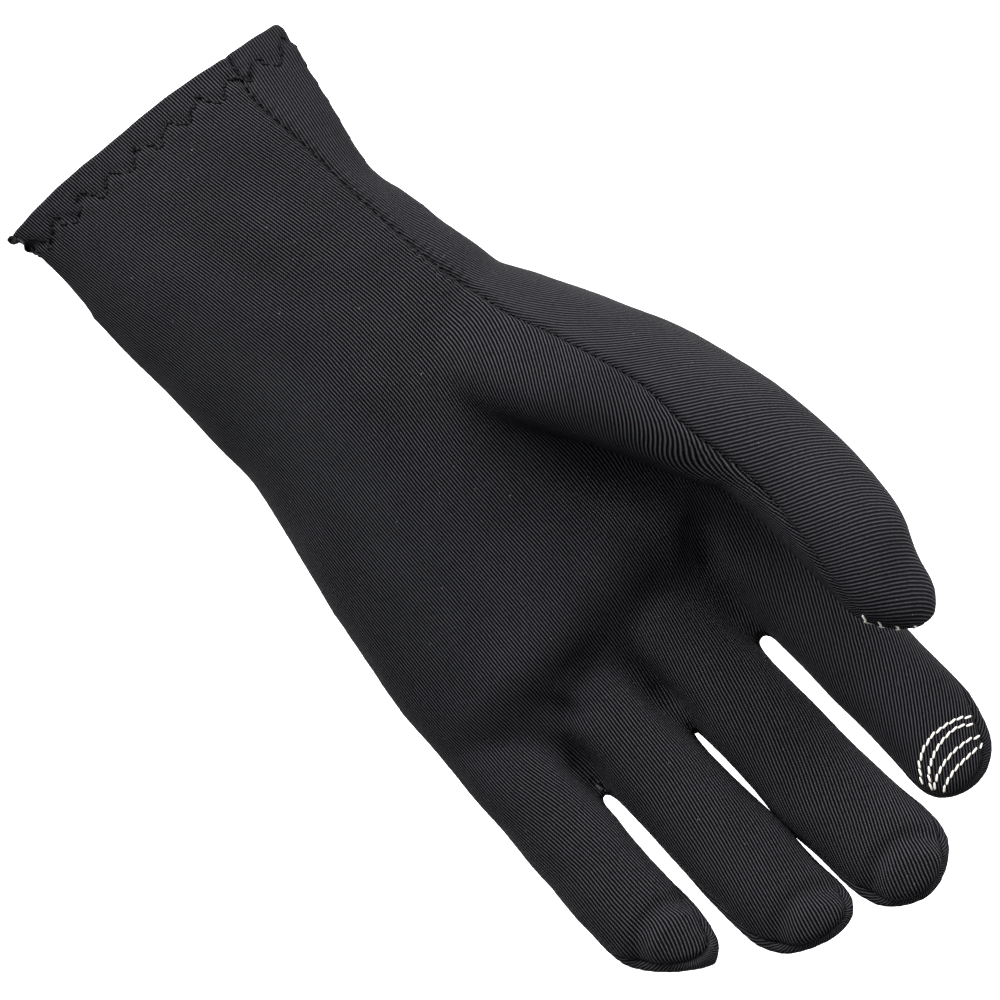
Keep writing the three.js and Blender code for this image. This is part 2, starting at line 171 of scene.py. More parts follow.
# Finer creases and folds of the palm side, in the same columns.
CREASES = table(
    "x y long wide deep turn",
    (135, 15.2, 13, 3, 1.1, 23),  # edge of the hollow beside the thumb
    (60, 30.5, 18, 1.8, 0.9, -8),  # where the thumb's base comes out from under the wrist
    (181, -30.5, 9, 3.4, 2.4, 2),  # round the root of the ring finger
    (169, -25, 6, 3.4, 2.2, 36),
    (165, -16, 8, 3.6, 2.4, 94),
    (182, -5.5, 11, 3.4, 2.4, 0),  # back from the gap beside the middle finger
    (180, 22, 9, 3.4, 2.4, -6),  # round the root of the index finger
    (166, 25.5, 6, 3.4, 3.2, -24),
    (160, 32, 6, 3.6, 2.4, 112),
)
# The rounded pads of three fingertips.
PADS = table("x y", (229.5, -42.5), (250, -16.5), (256.5, 8))
PAD_SIZE = 9.4
# The back panel's fold beside the wrist's seam, in the columns of the hollows.
FOLDS = table("x y long wide deep turn", (58, 31.5, 13, 2.6, 1.1, -13))
# Directions of the ribs over each panel: `turn` degrees from +X towards +Y, and `climb` degrees up.
RIB_COLUMNS = "x y z turn climb pitch"
PALM_RIBS = table(
    RIB_COLUMNS,
    (0, -34, 4, 4, 0, 0.7), (0, -10, 7, 2, 0, 0.7), (0, 10, 7, 0, 0, 0.72), (0, 22, 5, -9, 0, 0.78),
    (5, 22, 6, -3, 0, 0.76), (7, -30, 6, 9, 0, 0.7), (7, -5, 8, 9, 0, 0.7), (7, 12, 8, 8, 0, 0.72),
    (14, -20, 10, 9, 0, 0.69), (14, 8, 10, 9, 0, 0.69), (14, 20, 9, 9, 0, 0.69),
    (30, -20, 13, 11, 0, 0.66), (30, 15, 12, 13, 0, 0.7), (47, -20, 15, 5, 0, 0.64),
    (47, 12, 15, 10, 0, 0.74), (60, 0, 16, 5, 0, 0.7), (60, 22, 14, 7, 0, 0.75),
    (80, -25, 16, -5, 0, 0.68), (80, 0, 18, -6, 0, 0.78), (80, 22, 16, -4, 0, 0.85),
    (96, 28, 15, -23, 0, 0.82), (100, -25, 17, -13, 0, 0.67), (100, 0, 19, -16, 0, 0.74),
    (111, 30, 17, -35, 0, 0.72), (120, 12, 15, -10, 0, 0.7), (122, -22, 16, -8, 0, 0.69),
    (125, 35, 22, -38, 0, 0.7), (136, 38, 26, -42, 0, 0.7), (150, 44, 28, -52, 0, 0.74),
    (170, 44, 32, -56, 0, 0.74), (190, 43, 36, -56, 0, 0.74), (140, 2, 13, -7, 0, 0.69),
    (142, -32, 14, -8, 0, 0.69), (158, -5, 12, -11, 0, 0.69), (160, 20, 11, -15, 0, 0.7),
    (165, 34, 10, -34, 0, 0.68), (176, 34, 10, -36, 0, 0.7), (190, 36, 12, -44, 0, 0.74),
    (205, 36, 14, -44, 0, 0.74), (222, 36, 16, -43, 0, 0.72), (240, 35, 19, -42, 0, 0.72),
    (175, 8, 11, -23, 0, 0.7), (190, 8, 13, -29, 0, 0.78), (207, 8, 15, -36, 0, 0.8),
    (222, 8, 18, -36, 0, 0.76), (237, 8, 21, -34, 0, 0.74), (252, 8, 24, -20, 0, 0.8),
    (168, -18, 11, -6, 0, 0.7), (190, -18, 13, -7, 0, 0.8), (206, -18, 16, -20, 0, 0.8),
    (222, -18, 19, -21, 0, 0.72), (237, -18, 24, -17, 0, 0.72), (248, -16, 27, -17, 0, 0.74),
    (165, -44, 8, 0, 0, 0.67), (181, -44, 11, 19, 0, 0.76), (195, -45, 15, 9, 0, 0.76),
    (206, -49, 18, -8, 0, 0.8), (214, -42, 20, 2, 0, 0.8), (226, -45, 21, -22, 0, 0.78),
    (234, -43, 22, -32, 0, 0.72),
)
BACK_RIBS = table(
    RIB_COLUMNS,
    (0, 33, 4, -10, 0, 0.7), (14, 33, 5, -15, 0, 0.7), (30, 31, 6, -17, 0, 0.74),
    (50, 29, 9, -13, 0, 0.72), (64, 33, 7, 0, 0, 0.7), (75, 33, 10, 8, 0, 0.72),
    (86, 37, 12, 18, 0, 0.72), (100, 45, 15, 36, 0, 0.72), (110, 45, 22, 58, 0, 0.7),
    (118, 50, 26, 63, 0, 0.72), (130, 52, 30, 64, 0, 0.74), (150, 54, 38, 66, 0, 0.77),
    (170, 54, 45, 69, 0, 0.78), (182, 54, 49, 72, 0, 0.76), (191, 56, 50, 62, 0, 0.77),
    (202, 54, 50, 56, 0, 0.8), (112, 54, 4, 24, -40, 0.74), (132, 61, 8, 20, -54, 0.74),
    (160, 67, 22, 15, -54, 0.76), (190, 65, 34, 0, -54, 0.76), (120, 44, -6, -30, 0, 0.72),
    (145, 55, 5, -40, 0, 0.74), (175, 58, 20, -42, 0, 0.76), (60, 0, -17, 0, 0, 0.7),
    (20, 0, -12, 0, 0, 0.7), (100, 0, -18, 0, 0, 0.7), (150, 0, -17, 0, 0, 0.7),
    (90, 25, -16, -8, 0, 0.7), (180, -44, -8, 0, 0, 0.7), (180, 8, -10, 0, 0, 0.7),
    (180, 36, -9, 8, 0, 0.7), (235, 36, 4, 14, 0, 0.72), (240, 0, 6, 0, 0, 0.72),
    (225, -42, 6, -10, 0, 0.72),
)

# The form
# The ring finger and the middle finger touch part of the way along. A fused skin would bridge their
# gap, so they are moved apart while the form is fused, and back by a little more where they touch.
PARTING = -5.4  # the Y between the two fingers
PARTED_FROM, PARTED_TO = 189.5, 200  # the X over which they start to be moved apart
PARTED_BY = 1.3
TOUCH_AT, TOUCH_REACH = 225, 9  # the X where they touch, and how far along it that fades out
TOUCHING = 1.0
KNUCKLES = 150  # the X where the fingers start to curl
TIP_FROM, TIP_TO = 26, 8  # how far behind a fingertip its seam starts to rise, and is fully raised
WEB = 141  # the X of the web between thumb and index finger
WEB_HEIGHT = 8
WEB_SIDE = 38
SPINE_HEIGHT = 3  # the Z of the line inside the wrist that the seam is laid out from
TURN_FROM, TURN_TO = 88, 112  # the X over which the seam leaves the wrist for the thumb
SEAM_CORNER = 4.0  # how widely the seam rounds the corner at the web

# The mesh
HAND_SIDES, THUMB_SIDES, FINGER_SIDES = 72, 48, 40
VOXEL = 1.23
FORM_SMOOTHINGS = 6
BAND = 3.0  # half width of the finer mesh along the seam
MOUTH_SNAP, SEAM_SNAP = 0.15, 0.12  # vertices nearer than this to a cut are taken to lie on it
HALF_GAP = 0.14  # how far each panel stands back from the seam's line
FIN_START = 13  # how far from the cuff the seam's edges start to be turned in
FIN = ((0.06, 0.5), (0.06, 1.4), (0.08, 2.6))  # a turned-in edge's steps away from the seam and inwards
RIB_LAYERS = ("across_ribs", "along_ribs")
RIB_ROUNDS = 2  # how often the ribs' places are fitted again, with the ribs' own directions
RIB_STEPS = 200
RIB_FOLLOW = 1.5  # how much a later round keeps to the directions that the round before came out with
LEAST_LENGTH = 0.2  # directions shorter than this aren't stretched to full length

# The hem
HEM_FOLD = 0.8  # how far the fold of the hem reaches past the line that the panels are cut at
HEM_RIB_PITCH = 0.7
HEM_GAP = 0.2  # between the hem's two layers
HEM_LEAN, HEM_FLARE = 0.16, 0.04  # how the turned-in cloth closes in sideways and opens up and down
HEM_NARROWING, CORNER_NARROWING = 0.02, 0.06
FOLD_STEPS, HEM_STEPS = 6, 4
EDGE_SCALLOP, EDGE_WAVE = 0.08, 0.16  # how far the cuff's edge is pulled in by the zigzag, and strays
EDGE_PITCH = 8.7
ZIGZAG_START = (-2.4, 0.7, 7)  # a point of the zigzag lies at the edge nearest to here
ZIGZAG_NEAR, ZIGZAG_FAR = 4.2, 8.6  # how far from the edge its points lie
STITCHES_A_LEG = 3
FACING_UP = 0.5  # cloth that faces up or down less than this carries no zigzag

# Low relief: how far it rises or dips, where it lies from the seam, and how widely it fades out
SEAM_REACH = 12.0  # how far from the seam the cloth takes part in its relief
GROOVE_WIDTH = 0.8
STITCH_PITCH = 2.7  # from one stitch of the seam to the next
BEAT, WRIST_BEAT, BEAT_AT, BEAT_WIDTH = 0.02, 0.12, 0.9, 1.4  # a small rise at each stitch
TIP_ROLL, TIP_ROLL_AT, TIP_ROLL_WIDTH = 0.45, 1.9, 1.3  # the back's cloth behind the fingertips' seam
PUCKER, PUCKER_AT, PUCKER_WIDTH, PUCKER_PITCH = 0.3, 1.3, 1.6, 2.2  # where the wrist's seam is gathered
PUCKER_X, PUCKER_REACH = 71, 9
PAD_RISE, PAD_CREASE, PAD_CREASE_WIDTH = 1.1, 1.0, 1.8
HEM_STEP = 0.3  # how much the double cloth of the hem stands out
DIMPLE, DIMPLE_WIDTH = 0.65, 1.1  # at each stitch of the zigzag
WAVES, WAVE_LENGTH = 0.3, 12.0
RIPPLES, RIPPLE_LENGTH = 0.06, 5.0

# The stitches
ZIGZAG_STITCH, SEAM_STITCH, ARC_STITCH = 1.9, 1.5, 2.05  # lengths
ARC_PITCH = 2.0
ARC_SLANT = 14  # degrees
SEAM_SLANT = 0.45  # how far a seam stitch runs aside for each step ahead
SEAM_THREAD = 0.75  # width of the seam's thread, as a share of the zigzag's
PROUD, SUNK = 0.1, -0.2  # how high a seam stitch lies at the wrist's front seam, and elsewhere
PROUD_UNTIL = 150  # the X where the stitches that stand proud end
STITCH_LIFT, STITCH_HEIGHT = 0.12, 0.42  # as shares of the thread's width
# Arcs of pale thread as they are seen on the index fingertip's pad
INDEX_ARCS = [
    (
        (239.2, 44.9), (237.1, 42.1), (236.2, 38.5), (235.8, 34.8), (236.7, 31.2), (238.5, 28),
        (242.6, 25),
    ),
    (
        (240.8, 43.9), (238.5, 40.8), (238.3, 37.6), (238.5, 34.8), (239.7, 31.2), (241.7, 28),
        (245.2, 25.7),
    ),
    ((244, 43.2), (242.6, 40.3), (242.2, 36.6), (242.4, 33), (243.5, 29.3), (245.5, 26.1)),
    ((245.8, 42.6), (245.5, 39.8), (245.4, 36.6), (245.5, 33), (246.3, 29.8), (247.4, 27.3)),
]
# The X of each thumb arc's end at the seam, and of its middle
THUMB_ARCS = [(201, 205), (204.3, 207.3), (207.6, 209.4), (210.2, 211.2)]
THUMB_PAD_FACES = 230  # degrees from +Z towards +Y
THUMB_ARC_REACH = 72  # degrees from the arcs' middle to their end at the seam

# The finish of cloth and thread
RIB_RELIEF = 0.36 * MM
RIB_SHARPNESS = 3.0  # the higher, the narrower are the ribs' lit tops
WAVER_SCALE = 260.0  # of the ribs' small sideways wander
DASH_SCALE, DASH_LENGTH = 1.9, 0.42  # of the broken shine along a rib
LOOPS_A_RIB = 1.25  # knitted loops along a rib for each rib's width
CLOTH_SHINE = 0.03
WORN_SCALE = 60.0  # of the paler and darker patches
LINT_SCALE = 420.0
SHADE_SCALE = 900.0  # of the thread's paler and darker stretches
TWIST_SCALE, TWIST_RELIEF = 2200.0, 0.1 * MM

# The studio
CAMERA_TURN = 46.0  # degrees that the glove lies turned in the view
CAMERA_AIM = (123.1, -0.4)
CAMERA_DISTANCE = 1200.0
CAMERA_LENS = 180.0
LAMP_DISTANCE = 2.0
# Each lamp's direction in the view, to the right, up and towards the camera, its size, and its share.
LAMPS = [
    ("key_light", -0.62, 0.64, 0.45, 0.9, 0.85),
    ("second_light", 0.35, 0.8, 0.48, 0.9, 0.62),
    ("left_light", -0.88, 0.2, 0.44, 0.9, 0.2),
    ("front_light", -0.1, -0.12, 0.98, 1.0, 0.12),
    ("right_light", 0.85, 0.1, 0.5, 0.9, 0.24),
]
AIR_COLOUR, AIR_STRENGTH = (0.9, 0.92, 1, 1), 0.12


class Cloth(bpy.types.PropertyGroup):
    """Sizes and colours of the glove's cloth and its seam."""

    thickness: FloatProperty(
        name="Cloth thickness", description="Thickness of one layer of cloth",
        default=1.2 * MM, unit="LENGTH",
    )
    hem_width: FloatProperty(
        name="Hem width", description="How far the cloth is turned in at the cuff",
        default=9.5 * MM, unit="LENGTH",
    )
    rib_scale: FloatProperty(
        name="Rib scale", description="Width of the ribs, as a share of their real width",
        default=1.0, subtype="FACTOR", min=0.1, max=4,
    )
    groove_depth: FloatProperty(
        name="Seam depth", description="How far the cloth dips at the seam",
        default=0.85 * MM, unit="LENGTH",
    )
    # The ribs' tops are painted lighter as a highlight, and the valleys between them nearly black as
    # painted shade.
    colour: FloatVectorProperty(
        name="Cloth colour", description="Colour of the ribs' tops", subtype="COLOR",
        default=(0.036, 0.036, 0.041), min=0, max=1,
    )
    valley_shade_colour: FloatVectorProperty(
        name="Valley colour", description="Colour between the ribs", subtype="COLOR",
        default=(0.0004, 0.0004, 0.0005), min=0, max=1,
    )
    lint_colour: FloatVectorProperty(
        name="Lint colour", description="Colour of the lint on the cloth", subtype="COLOR",
        default=(0.08, 0.08, 0.085), min=0, max=1,
    )


class Thread(bpy.types.PropertyGroup):
    """Sizes and colours of the stitches."""

    width: FloatProperty(
        name="Thread width", description="Width of the sewing thread",
        default=0.66 * MM, unit="LENGTH",
    )
    arc_width: FloatProperty(
        name="Arc thread width", description="Width of the pale thread on the fingertips",
        default=0.56 * MM, unit="LENGTH",
    )
    zigzag_pitch: FloatProperty(
        name="Zigzag pitch", description="From one point of the hem's zigzag to the next",
        default=8.7 * MM, unit="LENGTH",
    )
    colour: FloatVectorProperty(
        name="Thread colour", description="Colour of the sewing thread", subtype="COLOR",
        default=(0.002, 0.002, 0.0025), min=0, max=1,
    )
    pale_colour: FloatVectorProperty(
        name="Pale thread colour", description="Colour of the fingertip arcs", subtype="COLOR",
        default=(0.72, 0.68, 0.62), min=0, max=1,
    )


class Studio(bpy.types.PropertyGroup):
    """The floor's depth and colour, and the lights' power."""

    floor_depth: FloatProperty(
        name="Floor depth", description="How far the floor lies below the glove",
        default=0.45, unit="LENGTH",
    )
    light_power: FloatProperty(
        name="Light power", description="Power that the lights' shares are taken of",
        default=110.0, unit="POWER",
    )
    floor_colour: FloatVectorProperty(
        name="Floor colour", description="Colour of the pale floor", subtype="COLOR",
        default=(0.9, 0.9, 0.9), min=0, max=1,
    )


# Curves and fields that the form and the seam are laid out from


def lerp(start, end, share):
    return start + (end - start) * share


def smoothstep(value, start, end):
    t = np.clip((value - start) / (end - start), 0, 1)
    return t * t * (3 - 2 * t)


def fading(value, middle, width):
    """1 at the middle, fading out over the width on both sides."""
    return np.exp(-(((value - middle) / width) ** 2))


def column_at(rows, name, x):
    """A table's column at any x, by a smooth curve through its values."""
    places, values = rows["x"], rows[name]
    last = len(places) - 1
    i = np.clip(np.searchsorted(places, x, side="right") - 1, 0, last - 1)
    before, after = np.maximum(i - 1, 0), np.minimum(i + 2, last)
    span = places[i + 1] - places[i]
    t = np.clip((x - places[i]) / span, 0, 1)
    change = values[i + 1] - values[i]
    leave = span * (values[i + 1] - values[before]) / (places[i + 1] - places[before])
    arrive = span * (values[after] - values[i]) / (places[after] - places[i])
    bend = 3 * change - 2 * leave - arrive + t * (leave + arrive - 2 * change)
    return values[i] + t * (leave + t * bend)


def curled(x, curl):
    return curl * np.maximum(0, x - KNUCKLES) ** 2


def pressed(rows, x, y):
    """How far a table of hollows presses the cloth down at a point."""
    total = np.zeros_like(x)
    for i, deep in enumerate(rows["deep"]):
        turn = math.radians(rows["turn"][i])
        dx, dy = x - rows["x"][i], y - rows["y"][i]
        along = (dx * math.cos(turn) + dy * math.sin(turn)) / rows["long"][i]
        across = (dy * math.cos(turn) - dx * math.sin(turn)) / rows["wide"][i]
        total += deep * np.exp(-(along**2) - across**2)
    return total


def seam_height(x, y):
    """Height of the seam through the palm and the fingers."""
    heights = []
    for finger in FINGERS:
        tip = finger["rows"]["x"][-1]
        aside = np.clip((y - column_at(finger["rows"], "y", x)) / 10, -1, 1)
        near_tip = smoothstep(x, tip - TIP_FROM, tip - TIP_TO)
        raised = near_tip * (finger["lift"] + finger["skew"] * aside)
        heights.append(curled(x, finger["curl"]) + raised)
    height = heights[0]
    for low, high, next_height in zip(FINGERS, FINGERS[1:], heights[1:]):
        share = (y - low["middle"]) / (high["middle"] - low["middle"])
        height = lerp(height, next_height, smoothstep(share, 0.35, 0.65))
    near_web = smoothstep(y, 24, 36) * (1 - smoothstep(x, WEB + 2, WEB + 26))
    return lerp(height, WEB_HEIGHT, near_web)


def palm_side(points):
    """Roughly how far a point lies from the seam, in millimetres: plus on the palm panel's side."""
    x, y, z = points.T
    over_sheet = z - seam_height(x, y)
    share = smoothstep(x, TURN_FROM, TURN_TO)
    spine_y = lerp(column_at(WRIST_SEAM, "y", x), column_at(THUMB, "y", x), share)
    spine_z = lerp(SPINE_HEIGHT, column_at(THUMB, "z", x), share)
    foot_y = lerp(spine_y, WEB_SIDE, smoothstep(x, TURN_TO, WEB))
    foot_z = np.minimum(seam_height(x, foot_y), spine_z - SPINE_HEIGHT)
    to_foot = np.arctan2(foot_y - spine_y, foot_z - spine_z) % math.tau
    front = np.radians(share * column_at(THUMB, "front", x))
    rear = lerp(to_foot, np.radians(column_at(THUMB, "rear", x)), smoothstep(x, WEB - 5, WEB + 7))
    reach = np.hypot(y - spine_y, z - spine_z)
    angle = np.arctan2(y - spine_y, z - spine_z)

    def to_ray(direction):
        turn = angle - direction
        return np.where(np.cos(turn) > 0, np.abs(reach * np.sin(turn)), reach)

    nearest = np.minimum(to_ray(front), to_ray(rear))
    outer = (angle - front) % math.tau < (rear - front) % math.tau
    around = np.where(outer, -nearest, nearest)
    near = np.maximum(SEAM_CORNER - np.abs(over_sheet - around), 0) / SEAM_CORNER
    return np.minimum(over_sheet, around) - near**2 * SEAM_CORNER / 4


def past_mouth(points):
    """How far a point lies past the line that the panels are cut at, at the cuff."""
    x, y, _ = points.T
    across = y - MOUTH["y"]
    edge = MOUTH["x"] + MOUTH["lean"] * across - MOUTH["bow"] * (1 - (across / MOUTH["wide"]) ** 2)
    scallop = EDGE_SCALLOP * np.cos(math.tau * (y - ZIGZAG_START[1]) / EDGE_PITCH)
    return x - edge - HEM_FOLD + (scallop + EDGE_WAVE * np.sin(y / 5.3))


# The fused form and its seam


def points_of(bm):
    return np.array([vert.co for vert in bm.verts])


def add_tube(bm, rows, sides, curl=0.0, hollows=None):
    """Adds one closed tube through a table's sections, bent from a flat grid."""
    steps_between = 5
    last = len(rows["x"]) - 1
    grid = bmesh.ops.create_grid(
        bm, x_segments=last * steps_between, y_segments=sides, size=0.5
    )["verts"]
    flat = np.array([vert.co for vert in grid]) + 0.5
    along = flat[:, 0] * last
    row = np.minimum(along.astype(int), last - 1)
    x = lerp(rows["x"][row], rows["x"][row + 1], along - row)
    angle = math.tau * flat[:, 1]

    def column(name, otherwise):
        return column_at(rows, name, x) if name in rows else otherwise

    wide, full = column("wide", 0), column("full", 2.2)
    roll = np.radians(column("roll", 0.0))
    cosine, sine = np.cos(angle), np.sin(angle)
    across = wide * np.sign(cosine) * np.abs(cosine) ** (2 / full)
    tall = np.where(sine > 0, column("up", 0), column("down", 0))
    above = tall * np.sign(sine) * np.abs(sine) ** (2 / column("round", 2.0))
    x = x + column("lean", 0.0) * across - column("bow", 0.0) * (1 - (across / wide) ** 2)
    y = column("y", 0.0) + across * np.cos(roll) + above * np.sin(roll)
    z = column("z", curled(x, curl)) - across * np.sin(roll) + above * np.cos(roll)
    if hollows is not None:
        z = z - np.clip(z / 4, 0, 1) * pressed(hollows, x, y)
    for vert, place in zip(grid, np.stack([x, y, z], axis=1)):
        vert.co = place
    bmesh.ops.remove_doubles(bm, verts=grid, dist=0.001)
    bmesh.ops.holes_fill(bm, edges=[edge for edge in bm.edges if edge.is_boundary], sides=0)


def parted(x, y, way):
    """The Y of a point once the ring finger and the middle finger are moved apart, or back again."""
    apart = PARTED_BY * smoothstep(x, PARTED_FROM, PARTED_TO)
    if way < 0:
        beside = 1 - smoothstep(np.abs(y - PARTING), 2, 14)
        apart += TOUCHING * fading(x, TOUCH_AT, TOUCH_REACH) * beside
    return y + way * apart * np.where(y < PARTING, -1, 1)


def fused_form():
    """The whole glove as one closed skin."""
    bm = bmesh.new()
    add_tube(bm, HAND, HAND_SIDES, hollows=HOLLOWS)
    add_tube(bm, THUMB, THUMB_SIDES)
    for finger in FINGERS:
        add_tube(bm, finger["rows"], FINGER_SIDES, curl=finger["curl"])
    for vert in bm.verts:
        vert.co.y = parted(vert.co.x, vert.co.y, 1)
    bmesh.ops.recalc_face_normals(bm, faces=bm.faces)
    mesh = bpy.data.meshes.new("tubes")
    bm.to_mesh(mesh)
    bm.free()
    holder = bpy.data.objects.new("tubes", mesh)
    bpy.context.scene.collection.objects.link(holder)
    remesh = holder.modifiers.new("fuse", "REMESH")
    remesh.mode = "VOXEL"
    remesh.voxel_size = VOXEL
    depsgraph = bpy.context.evaluated_depsgraph_get()
    fused = bpy.data.meshes.new_from_object(holder.evaluated_get(depsgraph))
    bm = bmesh.new()
    bm.from_mesh(fused)
    bpy.data.objects.remove(holder)
    bpy.data.meshes.remove(mesh)
    bpy.data.meshes.remove(fused)
    for vert in bm.verts:
        vert.co.y = parted(vert.co.x, vert.co.y, -1)
    for _ in range(FORM_SMOOTHINGS):
        bmesh.ops.smooth_vert(
            bm, verts=bm.verts, factor=0.5, use_axis_x=True, use_axis_y=True, use_axis_z=True
        )
    return bm


def cut_along(bm, field, layer, snap):
    """Splits edges and faces so that the line where the field passes zero runs along edges."""
    values = field(points_of(bm))
    values[np.abs(values) < snap] = 0
    for vert, value in zip(bm.verts, values):
        vert[layer] = value
    for edge in list(bm.edges):
        start, end = edge.verts
        if start[layer] * end[layer] < 0:
            share = start[layer] / (start[layer] - end[layer])
            middle = bmesh.utils.edge_split(edge, start, share)[1]
            middle[layer] = 0
    for face in list(bm.faces):
        on_line = [vert for vert in face.verts if vert[layer] == 0]
        mixed = any(v[layer] > 0 for v in face.verts) and any(v[layer] < 0 for v in face.verts)
        pairs = [(a, b) for i, a in enumerate(on_line) for b in on_line[i + 1:]]
        unlinked = [pair for pair in pairs if not bm.edges.get(pair)]
        if mixed and unlinked:
            bmesh.utils.face_split(face, *unlinked[0])


def in_order(edges):
    """The vertices of the longest chain of edges, from one end to the other, or round a closed one."""
    links = {}
    for edge in edges:
        for vert in edge.verts:
            links.setdefault(vert, []).append(edge.other_vert(vert))
    chains = []
    left = dict(links)
    while left:
        ends = [vert for vert in left if len(left[vert]) == 1]
        here = ends[0] if ends else next(iter(left))
        chain = [here]
        left.pop(here)
        while True:
            ahead = [vert for vert in links[here] if vert in left]
            if not ahead:
                break
            here = ahead[0]
            chain.append(here)
            left.pop(here)
        chains.append(chain)
    return max(chains, key=len)


def smoothed(points, passes, closed=False):
    """A run of points, smoothed along the run."""
    points = points.copy()
    for _ in range(passes):
        middle = (np.roll(points, 1, axis=0) + np.roll(points, -1, axis=0)) / 2
        if not closed:
            middle[0], middle[-1] = points[0], points[-1]
        points += 0.5 * (middle - points)
    return points


class Line(NamedTuple):
    """A line on the cloth: its points, how far along each lies, and which way the cloth faces there."""

    points: np.ndarray
    along: np.ndarray
    out: np.ndarray
    aside: np.ndarray


def cuff_fold(points):
    """1 at the sharp fold of the cuff on the little finger's side, and 0 away from it."""
    x, y, _ = points.T
    return (1 - smoothstep(x, 22, 42)) * (1 - smoothstep(y, -34, -24))


def line_through(verts, closed=False):
    """The line through a run of vertices."""
    points = np.array([vert.co for vert in verts])
    out = smoothed(np.array([vert.normal for vert in verts]), passes=6, closed=closed)
    out /= np.linalg.norm(out, axis=1)[:, None]
    if not closed:
        out = lerp(out, np.array((0, -1, 0)), cuff_fold(points)[:, None])
        out /= np.linalg.norm(out, axis=1)[:, None]
    ahead = smoothed(np.gradient(points, axis=0), passes=3, closed=closed)
    aside = np.cross(out, ahead)
    aside /= np.linalg.norm(aside, axis=1)[:, None]
    steps = np.linalg.norm(np.diff(points, axis=0), axis=1)
    return Line(points, np.concatenate([[0], np.cumsum(steps)]), out, aside)


def nearest_on(line, points, within):
    """Each point's distance from the line, and how far along the line it lies."""
    tree = KDTree(len(line.points))
    for i, point in enumerate(line.points):
        tree.insert(point, i)
    tree.balance()
    apart = np.full(len(points), within)
    along = np.zeros(len(points))
    for i, point in enumerate(points):
        _, nearest, distance = tree.find(point)
        if distance < within:
            apart[i] = distance
            along[i] = line.along[nearest]
    return apart, along


class Form(NamedTuple):
    """The dressed skin of the whole glove, with its seam, its mouth and its stitches' places."""

    skin: bpy.types.Mesh
    seam: Line
    mouth: Line
    tree: BVHTree


def dressed(points, normals, side, seam, zigzag, groove):
    """The skin's points once the seam, the hem, the creases and the cloth's own waves are pressed in."""
    apart, along = nearest_on(seam, points, SEAM_REACH)
    x, y, z = points.T
    palm = smoothstep(side, -2, 2)
    on_wrist = smoothstep(y, 15, 20) * (1 - smoothstep(x, 84, 110))
    on_fingers = smoothstep(x, 150, 180) * (1 - smoothstep(z, 26, 30))
    strength = (1 - 0.2 * on_fingers) * (1 - 0.8 * cuff_fold(points))
    shift = -groove * strength * fading(apart, 0, GROOVE_WIDTH)
    beat = np.sin(math.tau * along / STITCH_PITCH + 1.3 * np.sin(along / 7.0))
    beat = (BEAT + WRIST_BEAT * on_wrist) * beat
    shift += beat * fading(apart, BEAT_AT, BEAT_WIDTH) * (apart < SEAM_REACH - 1)
    tips = smoothstep(z, 6, 16) * smoothstep(x, 205, 225) * on_fingers
    shift += TIP_ROLL * tips * (side < 0) * fading(apart, TIP_ROLL_AT, TIP_ROLL_WIDTH)
    puckers = fading(x, PUCKER_X, PUCKER_REACH) * (y > 20) * fading(apart, PUCKER_AT, PUCKER_WIDTH)
    shift += PUCKER * puckers * np.sin(math.tau * along / PUCKER_PITCH)
    shift -= palm * pressed(CREASES, x, y)
    shift -= (1 - palm) * smoothstep(z, -4, 2) * pressed(FOLDS, x, y)
    for pad_x, pad_y in zip(PADS["x"], PADS["y"]):
        from_pad = np.hypot(x - pad_x, y - pad_y)
        shift += PAD_RISE * palm * (1 - smoothstep(from_pad, 0.7 * PAD_SIZE, 1.08 * PAD_SIZE))
        behind = smoothstep(pad_x - x, -2, 4)
        shift -= PAD_CREASE * palm * behind * fading(from_pad, 1.22 * PAD_SIZE, PAD_CREASE_WIDTH)
    on_hem = 1 - smoothstep(past_mouth(points), 8.2, 9.8)
    shift += HEM_STEP * on_hem * smoothstep(apart, 0.5, 3)
    for place in zigzag:
        away = np.sum((points - place) ** 2, axis=1)
        shift -= DIMPLE * np.exp(-away / DIMPLE_WIDTH**2)
    shift += [
        noise.noise(Vector(point) / WAVE_LENGTH) * WAVES
        + noise.noise(Vector(point) / RIPPLE_LENGTH) * RIPPLES
        for point in points
    ]
    return points + normals * shift[:, None]


def zigzag_places(mouth, tree, pitch):
    """The spot of each stitch of the hem's zigzag, the cloth's direction there, and the stitch's run."""
    length = mouth.along[-1]
    legs = 2 * round(length / pitch)
    leg = length / legs
    start = mouth.along[np.argmin(np.linalg.norm(mouth.points - np.array(ZIGZAG_START), axis=1))]
    places = []
    for i in range(legs):
        for k in range(STITCHES_A_LEG):
            share = (k + 0.5) / STITCHES_A_LEG
            rise = share if i % 2 else 1 - share
            where = (start + (i + share) * leg) % length
            at = np.searchsorted(mouth.along, where) % len(mouth.points)
            point = Vector(mouth.points[at]) + Vector((lerp(ZIGZAG_NEAR, ZIGZAG_FAR, rise), 0, 0))
            spot, normal, _, _ = tree.find_nearest(point + 2 * Vector(mouth.out[at]))
            rising = ZIGZAG_FAR - ZIGZAG_NEAR
            slant = Vector((rising if i % 2 else -rising, 0, 0))
            ahead = Vector(mouth.points[(at + 1) % len(mouth.points)] - mouth.points[at - 1])
            if abs(normal.z) > FACING_UP:
                places.append((spot, normal, slant + ahead.normalized() * leg))
    return places


